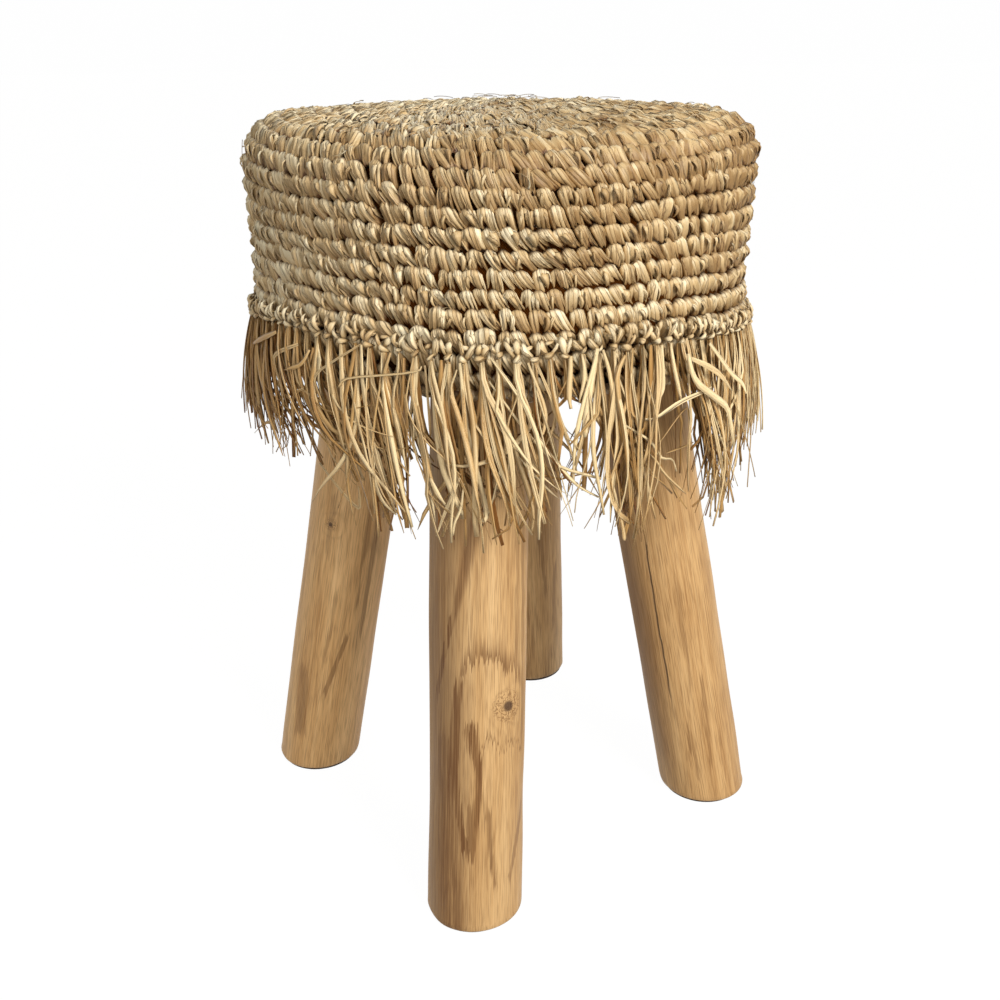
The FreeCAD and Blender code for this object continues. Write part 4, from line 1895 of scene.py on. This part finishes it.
    def tangle_and_shade(self, azimuth: float) -> float:
        """How tangled the fringe is at an azimuth, and how much painted shade darkens it there, 0 to 1."""
        aside = (azimuth - self.tangle_side + 180) % 360 - 180
        return math.exp(-((aside / self.tangle_turn) ** 2))

    def find_way(self, azimuth: float, layer: float, drift: float, steadiness: float) -> list[Vector]:
        """A line for one strip of a tassel that keeps out of the openings.

        Args:
            azimuth: The tassel's place round the seat, in degrees.
            layer: How far out the strip lies in its tassel, 0 to 1.
            drift: The tassel's own lean, in degrees.
            steadiness: How much of a chance sweep the strip may take, 0 to 1.

        Returns:
            The places, or none if every try was blocked.
        """
        vary, chance = self.chance.vary, self.chance
        wildness = self.wild_share + self.tangle * self.tangle_and_shade(azimuth)
        root = self.radius - self.root_inset + self.tassel_depth * layer * MM
        start = azimuth + math.degrees(vary(0, self.root_spread) * MM / root)
        length = read_round(self.reaches, azimuth) * (1.0 - self.raggedness * chance.random() ** 2) * MM
        for attempt in range(self.tries):
            bow = chance.gauss(0, self.bow)
            sweep = drift + chance.gauss(0, self.wild_sweep if chance.random() < wildness else self.sweep)
            sweep = drift + (sweep - drift) * steadiness
            leans = (0.2 * drift, 0.4 * drift + bow, sweep - 0.8 * bow)
            root_tilt, root_spread = self.root_tilt
            tilts = (root_tilt + self.layer_tilt * layer + vary(0, root_spread), vary(*self.tip_tilt))
            places = self.hang(start, root, length * self.shortening**attempt, leans, tilts)
            if not self.blocked(places):
                return places
        return []

    def add_tassel(self, gathering: Gathering, strip: Mesh, azimuth: float) -> None:
        """Adds the strips of one tassel.

        Args:
            gathering: The gathering.
            strip: The unit strip.
            azimuth: The tassel's place round the seat, in degrees.
        """
        chance = self.chance
        drift = read_round(self.sweeps, azimuth) * chance.vary(1.0, 0.3) + chance.gauss(0, 6)
        count = chance.randint(*self.strips_per_tassel)
        for number in range(count):
            layer = (number + chance.random()) / count
            width = chance.choice(self.widths)
            places = self.find_way(azimuth, layer, drift, min(1.0, self.stiff_width / width))
            width *= chance.vary(1.0, 0.15) * MM
            # Painted shade: strips further in the tassel are darker, and those round the tangled side darker
            # still.
            shade = min(1.0, max(0.0, 0.75 * layer + chance.vary(0.15, 0.2)))
            shade *= 1 - self.tangle_shade * self.tangle_and_shade(azimuth)
            if places:
                gathering.add(strip, self.ribbon(places, width).bend(), shade)

    def add_stray(self, gathering: Gathering, strip: Mesh, stray: Stray) -> None:
        """Adds a strip that lies its own way.

        Args:
            gathering: The gathering.
            strip: The unit strip.
            stray: The lie of it.
        """
        outs = np.linspace(*stray.out, len(stray.turns))
        spots = np.column_stack((np.radians(stray.turns), stray.heights, outs))
        places = []
        for turn, height, out in smooth_line(spots, self.steps + 1):
            far = self.radius + out * MM
            places.append(Vector((far * math.cos(turn), far * math.sin(turn), height * MM)))
        ribbon = self.ribbon(places, stray.width * MM, self.stray_twist)
        gathering.add(strip, ribbon.bend(), stray.shade)

    @staticmethod
    def quarter(azimuth: float) -> int:
        """Which quarter an azimuth is in: 0 right, 1 back, 2 left or 3 front."""
        return int(((azimuth + 45) % 360) // 90)

    def knot_mesh(self, number: int) -> Mesh:
        """One form of knot: two arms that come down out of the stitches, a wrap round them and a bar above.

        Args:
            number: The form's number.

        Returns:
            The mesh.
        """
        chance = self.chance
        lobes = [self.arm.draw(chance, side) for side in (-1, 1)]
        tilt, wide = chance.vary(0, self.wrap_tilt), chance.vary(*self.wrap_reach)
        wrap = LobeForm((-wide, self.wrap_rise + tilt), (wide, self.wrap_rise - tilt), half_thickness=0.8,
                        half_width=(1.35, 0.35), arch=(3.5, 0.5), taper=(0.0, 0.3))
        lobes.append(wrap.draw(chance))
        ends = [(side * chance.vary(*self.bar_reach), chance.vary(*self.bar_rise)) for side in (-1, 1)]
        bar = LobeForm(*ends, half_width=(1.1, 0.3), arch=(2.1, 0.8), half_thickness=0.9, taper=0.1, rings=4)
        lobes.append(bar.draw(chance))
        return lobe_mesh("knot_%d" % number, lobes)

    def build_knots(self, material: Material) -> None:
        """Makes the round of knots.

        Args:
            material: Its finish.
        """
        vary = self.chance.vary
        templates = [self.knot_mesh(number) for number in range(self.knot_forms)]
        gathering = Gathering("raffia_knots")
        for azimuth in self.azimuths():
            height = self.line.height + self.line.rise(azimuth) + vary(0, self.height_spread) * MM
            spot = CoverSpot(self.radius - self.knot_inset, height, math.pi / 2)
            frame = spot.matrix(math.radians(azimuth), 0.0)
            lean = Matrix.Rotation(math.radians(vary(0, self.knot_lean)), 4, "Z")
            place = frame @ lean @ Matrix.Scale(vary(*self.knot_size), 4)
            gathering.add(self.chance.choice(templates), place.__matmul__, self.chance.random())
        Piece.dress(gathering.build(), material, "raffia_knot", ["fringe_knots"])

    def azimuths(self) -> list[float]:
        """The tassels' places in degrees, counted round from -45."""
        step = 360 / self.tassels
        return [-45 + step * (number + 0.5) for number in range(self.tassels)]

    def build(self, knot_material: Material, strip_material: Material) -> None:
        """Makes the knots and the four quarters of the fringe.

        Args:
            knot_material: The knots' finish.
            strip_material: The strips' finish.
        """
        self.build_knots(knot_material)
        strip = strip_mesh("strip", 6, self.steps)
        sides = (Side.RIGHT, Side.BACK, Side.LEFT, Side.FRONT)
        gatherings = [Gathering("raffia_fringe_" + side.word) for side in sides]
        for azimuth in self.azimuths():
            self.add_tassel(gatherings[self.quarter(azimuth)], strip, azimuth)
        for stray in STRAYS:
            self.add_stray(gatherings[self.quarter(stray.turns[0])], strip, stray)
        for side, gathering in zip(sides, gatherings):
            Piece.dress(gathering.build(), strip_material, "raffia_strand", ["fringe_" + side.word])


@dataclass
class Leg:
    """One splayed leg: a natural stem, slightly out of round, cut level at both ends."""

    side: Side
    finish: TeakFinish
    foot_circle: float
    foot_height: float
    top_height: float
    sway: float
    around: int = 72
    rings: int = 90
    edge: float = 1.5 * MM
    edge_steps: int = 2
    unevenness: float = 0.7 * MM
    knot_rise: float = 0.7 * MM
    swell_scale: tuple[float, float] = (0.8, 9.0)
    flat_scale: tuple[float, float] = (1.9, 22.0)

    def turn(self) -> Matrix:
        """The turn that brings the leg to its side."""
        return Matrix.Rotation(math.radians(self.side.value), 4, "Z")

    def frame(self) -> Matrix:
        """The matrix from the stem's own frame: X to the leg's outer side, Z up along the stem."""
        shift = Matrix.Translation((self.foot_circle, 0, self.foot_height))
        return self.turn() @ shift @ Matrix.Rotation(-LEG_LEAN, 4, "Y")

    def surface(self, point: Vector) -> Vector:
        """Where a point of a unit cylinder lies on the natural stem, cut into level slices.

        Args:
            point: The point, with Z from 0 at the foot to 1 at the top.

        Returns:
            The place, with the leg's outer side towards +X.
        """
        rise = point.z * (self.top_height - self.foot_height)
        seed = self.finish.seed
        around, along = self.swell_scale
        swell = noise.noise(Vector((point.x * around + seed, point.y * around, rise * along)))
        around, along = self.flat_scale
        flats = noise.noise(Vector((point.x * around, point.y * around + seed, rise * along)))
        radius = FOOT_RADIUS + (LEG_TOP_RADIUS - FOOT_RADIUS) * point.z
        radius += self.unevenness * (swell * 1.2 + flats * 0.7)
        for knot in self.finish.knots:
            spot = Vector(self.finish.spot(knot))
            gap = Vector((point.x * radius, point.y * radius, rise / math.cos(LEG_LEAN))) - spot
            radius += self.knot_rise * math.exp(-((gap.length / self.finish.knot_reach) ** 2))
        middle = self.foot_circle - rise * math.tan(LEG_LEAN)
        across = point.x * radius / math.cos(LEG_LEAN)
        aside = point.y * radius + self.sway * (1 - point.z)
        return Vector((middle + across, aside, self.foot_height + rise))

    def build(self) -> None:
        """Makes the leg."""
        shape = unit_tube(self.around, self.rings)
        for vert in shape.verts:
            vert.co = self.surface(vert.co)
        sole = self.foot_height + SAME_PLACE
        foot = [edge for edge in shape.edges if all(vert.co.z < sole for vert in edge.verts)]
        bmesh.ops.bevel(shape, geom=foot, offset=self.edge, offset_type="OFFSET", affect="EDGES",
                        segments=self.edge_steps, profile=0.5, material=-1, clamp_overlap=False)
        bmesh.ops.transform(shape, matrix=self.turn(), verts=shape.verts)
        bmesh.ops.recalc_face_normals(shape, faces=shape.faces)
        piece = Piece.from_bmesh("teak_leg_" + self.side.word, shape)
        self.mark_stem(piece.data)
        Piece.dress(piece, self.finish.make(), "teak", ["leg_" + self.side.word])

    def mark_stem(self, mesh: Mesh) -> None:
        """Writes each point's place in the stem's own frame, for the grain to follow.

        Args:
            mesh: The leg's mesh.
        """
        back = self.frame().inverted()
        layer = mesh.attributes.new(STEM, "FLOAT_VECTOR", "POINT")
        places = [number for vert in mesh.vertices for number in back @ vert.co]
        layer.data.foreach_set("vector", np.array(places, np.float32))


@dataclass
class Padding:
    """The soft layers under the cover: foam pad, wadding round the wall and cotton lining."""

    profile: CoverProfile
    cover_depth: float = 7.0 * MM
    lining: float = 0.8 * MM
    gap: float = 0.3 * MM
    return_shortfall: float = 3 * MM
    wrap: float = 1.8 * MM
    around: int = 120
    step: float = 4 * MM

    def line(self, last: float, inset: float) -> list[tuple[float, float]]:
        """Follows the cover's line inside it.

        Args:
            last: How far along to go.
            inset: How far in from the outer face.

        Returns:
            Points of radius and height.
        """
        count = max(2, int(last / self.step))
        points = []
        for number in range(count + 1):
            spot = self.profile.spot(last * number / count)
            radius = max(0.0, spot.radius - inset * math.sin(spot.tilt))
            points.append((radius, spot.height - inset * math.cos(spot.tilt)))
        return points

    def spun(self, name: str, outline: Sequence[tuple[float, float]]) -> Object:
        """Spins a closed outline about the stool's axis.

        Args:
            name: The piece's name.
            outline: Its points of radius and height.

        Returns:
            The piece, not yet dressed.
        """
        shape = bmesh.new()
        verts = [shape.verts.new((radius, 0, height)) for radius, height in outline]
        edges = [shape.edges.new((verts[k - 1], verts[k])) for k in range(len(verts))]
        bmesh.ops.spin(shape, geom=verts + edges, cent=(0, 0, 0), axis=(0, 0, 1), angle=math.tau,
                       steps=self.around, use_merge=True)
        bmesh.ops.remove_doubles(shape, verts=shape.verts, dist=SAME_PLACE)
        bmesh.ops.dissolve_degenerate(shape, edges=shape.edges, dist=SAME_PLACE / 10)
        bmesh.ops.recalc_face_normals(shape, faces=shape.faces)
        return Piece.from_bmesh(name, shape)

    def build(self, lining: Material, foam: Material, wadding: Material) -> None:
        """Makes the three soft layers.

        Args:
            lining: The cotton's finish.
            foam: The foam's finish.
            wadding: The wadding's finish.
        """
        last = self.profile.end - self.return_shortfall
        inner = self.cover_depth + self.lining
        outline = self.line(last, self.cover_depth) + self.line(last, inner)[::-1]
        Piece.dress(self.spun("cotton_under_cover", outline), lining, "cotton", ["cotton_lining"])
        low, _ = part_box("foam_pad")
        pad = self.line(self.profile.wall_start, inner + self.gap)
        pad += [(pad[-1][0], low.z), (0.0, low.z)]
        piece = Piece.dress(self.spun("seat_foam", pad), foam, "foam", ["foam_pad"])
        low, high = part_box("wadding_wrap")
        outer = self.profile.radius - inner - self.gap
        wall = [(outer - self.wrap, low.z), (outer, low.z), (outer, high.z), (outer - self.wrap, high.z)]
        piece = Piece.dress(self.spun("wall_wadding", wall), wadding, "wadding", ["wadding_wrap"])


@dataclass(frozen=True)
class Hardware:
    """Boards, panels, posts, pads and fasteners, which stay as the frame has them, and their finishes."""

    plywood: BoardFinish = BoardFinish("raw_plywood", srgb(214, 184, 138), srgb(170, 132, 86), ply=1.5 * MM)
    bent_plywood: BoardFinish = BoardFinish(
        "bending_plywood", srgb(220, 194, 150), srgb(186, 150, 104), grain_scale=(300, 300, 14),
    )
    pine: BoardFinish = BoardFinish(
        "raw_pine", srgb(228, 196, 144), srgb(192, 150, 96), grain_scale=(420, 420, 20),
    )
    felt: ClothFinish = ClothFinish("dark_felt", srgb(34, 24, 18), srgb(74, 56, 42), 0.35 * MM, woven=False)
    plated: SteelFinish = SteelFinish("yellow_plated_steel", srgb(206, 184, 120), srgb(150, 128, 82))
    bright: SteelFinish = SteelFinish("bright_steel", srgb(206, 206, 204), srgb(150, 150, 148))

    def build(self, nodes: dict[str, Object]) -> None:
        """Gives every one of these nodes its finish.

        Args:
            nodes: The frame's nodes by name.
        """
        words = [side.word for side in Side]
        corners = [end + "_" + hand for end in ("front", "back") for hand in ("right", "left")]
        finished = (
            (self.plywood, ["base_board", "top_board"]),
            (self.bent_plywood, ["wall_panel_" + word for word in words]),
            (self.pine, ["post_" + corner for corner in corners]),
            (self.felt, ["foot_pad_" + word for word in words]),
            (self.plated, ["leg_screws", "post_screws"]),
            (self.bright, ["foot_pad_nails", "panel_pins", "hem_staples"]),
        )
        for finish, names in finished:
            material = finish.make()
            for name in names:
                nodes[name].data.materials.clear()
                nodes[name].data.materials.append(material)
                log.info("%s takes %s", name, material.name)


@dataclass(frozen=True)
class Lamp:
    """One square soft light that points at the middle of the stool: metres and watts."""

    name: str
    place: tuple[float, float, float]
    size: float
    power: float
    colour: Colour

    def hang(self, target: Vector) -> None:
        """Hangs the lamp.

        Args:
            target: What it points at.
        """
        data = bpy.data.lights.new(self.name, "AREA")
        data.size = self.size
        data.energy = self.power
        data.color = self.colour[:3]
        lamp = bpy.data.objects.new(self.name, data)
        place = Vector(self.place)
        aim = (target - place).to_track_quat("-Z", "Y").to_matrix().to_4x4()
        lamp.matrix_world = Matrix.Translation(place) @ aim
        bpy.context.scene.collection.objects.link(lamp)


@dataclass(frozen=True)
class Studio:
    """The camera at the picture's angle, a white floor and soft daylight from the front right."""

    distance: float = 0.66309
    height: float = 0.48126
    azimuth: float = -81.42
    heading: float = 8.757
    pitch: float = 22.273
    roll: float = -0.706
    lens: float = 38.83
    sensor: float = 36.0
    floor_radius: float = 60.0
    floor_colour: Colour = srgb(160, 158, 154)
    floor_white: Colour = srgb(250, 250, 250)
    floor_glow: float = 1.03
    glow_share: float = 0.95
    backdrop: Colour = (0.995, 0.995, 0.995, 1)
    daylight: Colour = srgb(255, 252, 246)
    daylight_strength: float = 0.40
    target: tuple[float, float, float] = (0, 0, 0.28)
    lamps: tuple[Lamp, ...] = (
        Lamp("key_window", (1.14, -1.06, 1.06), 0.8, 30.5, srgb(255, 250, 242)),
        Lamp("front_fill", (-0.62, -1.50, 0.62), 1.2, 6.0, srgb(255, 252, 248)),
    )

    def camera(self) -> None:
        """Sets up the camera."""
        data = bpy.data.cameras.new("camera")
        data.lens = self.lens
        data.sensor_width = self.sensor
        data.sensor_fit = "HORIZONTAL"
        data.clip_start = 0.01
        camera = bpy.data.objects.new("camera", data)
        angle = math.radians(self.azimuth)
        place = (self.distance * math.cos(angle), self.distance * math.sin(angle), self.height)
        heading = Matrix.Rotation(math.radians(self.heading), 4, "Z")
        pitch = Matrix.Rotation(math.radians(90 - self.pitch), 4, "X")
        roll = Matrix.Rotation(math.radians(self.roll), 4, "Z")
        camera.matrix_world = Matrix.Translation(place) @ heading @ pitch @ roll
        bpy.context.scene.collection.objects.link(camera)
        bpy.context.scene.camera = camera

    def floor(self) -> None:
        """Lays a white floor that keeps the stool's shadow."""
        shape = bmesh.new()
        bmesh.ops.create_circle(shape, cap_ends=True, segments=96, radius=self.floor_radius)
        piece = Piece.from_bmesh("studio_floor", shape)
        graph = ShaderGraph("white_floor")
        seen = graph.white_view()
        colour = graph.mix(seen, self.floor_colour, self.floor_white)
        graph.set(Base_Color=colour, Roughness=1.0, Specular_IOR_Level=0.0)
        glow = graph.result("ShaderNodeEmission", {"Color": (1, 1, 1, 1), "Strength": self.floor_glow})
        share = graph.product(seen, self.glow_share)
        inputs = {0: share, 1: graph.shader.outputs[0], 2: glow}
        graph.feed(graph.surface, graph.result("ShaderNodeMixShader", inputs))
        piece.data.materials.append(graph.material)

    def world(self) -> None:
        """Lights everything evenly, and shows white behind the stool."""
        world = bpy.data.worlds.new("daylight")
        world.use_nodes = True
        graph = NodeGraph(world.node_tree)
        inputs = {"Color": self.daylight, "Strength": self.daylight_strength}
        light = graph.result("ShaderNodeBackground", inputs)
        backdrop = graph.result("ShaderNodeBackground", {"Color": self.backdrop})
        sky = graph.result("ShaderNodeMixShader", {0: graph.white_view(), 1: light, 2: backdrop})
        graph.feed(graph.tree.nodes.new("ShaderNodeOutputWorld").inputs["Surface"], sky)
        bpy.context.scene.world = world

    def build(self) -> None:
        """Sets up camera, floor and lights."""
        self.camera()
        self.floor()
        self.world()
        for lamp in self.lamps:
            lamp.hang(Vector(self.target))
        bpy.context.scene.view_settings.view_transform = "Standard"


LEG_SWAYS = {Side.FRONT: 1.3 * MM, Side.RIGHT: -0.5 * MM, Side.BACK: 0.6 * MM, Side.LEFT: 0.4 * MM}
LEG_MARKS: dict[Side, dict[str, object]] = {
    Side.FRONT: {
        "seed": 3.1,
        "paleness": 0.88,
        "knots": (StemMark(48, 0.133, 4.2 * MM),),
        "pin_holes": (
            StemMark(14, 0.238, 1.3 * MM), StemMark(35, 0.235, 1.1 * MM), StemMark(-6, 0.235, 1.0 * MM),
        ),
        "lines": (
            GrowthLine(((-24, 0.118), (-19, 0.130), (-14, 0.144), (-7, 0.155), (2, 0.162), (16, 0.165),
                        (32, 0.163), (48, 0.157), (72, 0.146)), strength=0.8, feather=16 * MM),
            GrowthLine(((10, 0.092), (14, 0.102), (20, 0.111), (30, 0.115), (40, 0.109), (50, 0.112),
                        (60, 0.110), (78, 0.102)), strength=0.75, feather=4 * MM),
        ),
        "streaks": (
            Streak((9, 0.250, 16), (-22, 0.180, 7), 0.8, fade=0.8),
            Streak((-20, 0.188, 6), (-48, 0.136, 5), 0.95),
            # Painted shade: two broad dark streaks over the left side and the lower left of the stem.
            Streak((-50, 0.270, 50), (-32, -0.010, 52), 0.6, fade=0.8),
            Streak((-32, 0.120, 30), (-20, -0.010, 34), 0.85, fade=0.75),
            Streak((-12, 0.152, 8), (-18, 0.090, 9), 0.95), Streak((-18, 0.098, 9), (1, 0.042, 5), 0.95),
            Streak((2, 0.124, 11), (12, 0.097, 4), 0.95),
            Streak((-10, 0.156, 18), (-6, 0.050, 20), 0.5, fade=0.9),
            Streak((13, 0.103, 5), (12, 0.062, 4), 0.95), Streak((-24, 0.092, 3), (-30, 0.046, 3), 0.9),
            Streak((-36, 0.090, 4), (-37, 0.042, 3), 0.8), Streak((8, 0.078, 11), (7, 0.044, 6), 0.7),
            Streak((-52, 0.070, 4), (-54, 0.020, 3), 0.6), Streak((26, 0.074, 4), (34, 0.022, 3), 0.6),
            Streak((82, 0.070, 6), (55, 0.024, 4), 0.55), Streak((62, 0.240, 4), (62, 0.150, 3), 0.4),
            Streak((74, 0.240, 4), (76, 0.110, 4), 0.5),
        ),
    },
    Side.RIGHT: {
        "seed": 11.7,
        "paleness": 0.93,
        "check": (StemMark(-108, 0.19), StemMark(-111, 0.075)),
        "streaks": (
            # Partly grain and partly painted shade: a broad dark streak down the stem's left side.
            Streak((-150, 0.300, 38), (-142, 0.030, 30), 0.5, fade=0.9),
            Streak((-78, 0.170, 4), (-80, 0.090, 3), 0.35), Streak((-64, 0.100, 4), (-68, 0.030, 3), 0.4),
            Streak((-92, 0.060, 6), (-88, 0.020, 3), 0.4),
        ),
    },
    Side.BACK: {
        "seed": 23.9,
        "figure": 0.45,
        "paleness": 0.9,
        "streaks": (
            Streak((-150, 0.150, 6), (-140, 0.090, 3), 0.5),
            Streak((-118, 0.120, 5), (-126, 0.050, 4), 0.45), Streak((20, 0.220, 9), (30, 0.100, 5), 0.5),
        ),
    },
    Side.LEFT: {
        "seed": 31.3,
        "paleness": 1.17,
        "knots": (StemMark(77, 0.195, 2.0 * MM),),
        "streaks": (
            Streak((77, 0.222, 5), (77, 0.172, 4), 0.4),
            Streak((62, 0.082, 18), (70, 0.026, 13), 0.55, fade=0.9),
            Streak((118, 0.115, 4), (98, 0.066, 4), 0.65), Streak((142, 0.210, 6), (138, 0.110, 4), 0.6),
            Streak((128, 0.220, 4), (126, 0.140, 3), 0.5), Streak((96, 0.150, 3), (92, 0.090, 3), 0.45),
        ),
    },
}


def build_legs() -> None:
    """Makes the four legs, each with its own marks, sized from the frame."""
    low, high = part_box("leg_right")
    pad_low, pad_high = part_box("foot_pad_right")
    for side in Side:
        finish = TeakFinish(name="teak_" + side.word, **LEG_MARKS[side])
        Leg(side, finish, (pad_low.x + pad_high.x) / 2, low.z, high.z, LEG_SWAYS[side]).build()


def main() -> None:
    """Builds every piece in order."""
    logging.basicConfig(level=logging.INFO, format="%(message)s")
    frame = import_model()
    Studio().build()

    _, wall_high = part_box("crochet_wall")
    _, top_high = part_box("crochet_top")
    hem_low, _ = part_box("crochet_hem")
    knots_low, knots_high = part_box("fringe_knots")
    knot_line = KnotLine((knots_low.z + knots_high.z) / 2)
    profile = CoverProfile(radius=wall_high.x, crown_height=top_high.z, hem_height=hem_low.z)

    raffia = RaffiaFinish("crocheted_raffia")
    CrochetCover(profile, knot_line, Chance(SEED)).build(raffia.make())
    knot_raffia = RaffiaFinish("knotted_raffia", tuck_shade=0.5, shade_share=0.14)
    strip_raffia = RaffiaFinish(
        "raffia_strips", tuck_shade=0.12, shade_share=0.6, gloss=0.3, brown=srgb(130, 84, 36),
        straw=srgb(188, 148, 91), cream=srgb(240, 218, 172), edge=0.25, downward_shade=0.1,
    )
    Fringe(profile.radius, knot_line, Chance(SEED + 1)).build(knot_raffia.make(), strip_raffia.make())

    # The lining is dark brown as painted shade for the gaps between the stitches.
    cotton = ClothFinish("cotton_gap_shade", srgb(48, 26, 9), srgb(84, 50, 22), 0.7 * MM, sheen=0.0)
    foam = ClothFinish("seat_foam", srgb(226, 214, 160), srgb(244, 236, 196), 1.2 * MM, woven=False)
    wadding = ClothFinish("white_wadding", srgb(226, 224, 216), srgb(246, 245, 240), 1.0 * MM, woven=False)
    Padding(profile).build(cotton.make(), foam.make(), wadding.make())
    build_legs()
    Hardware().build(frame["nodes"])


if __name__ == "__main__":
    main()
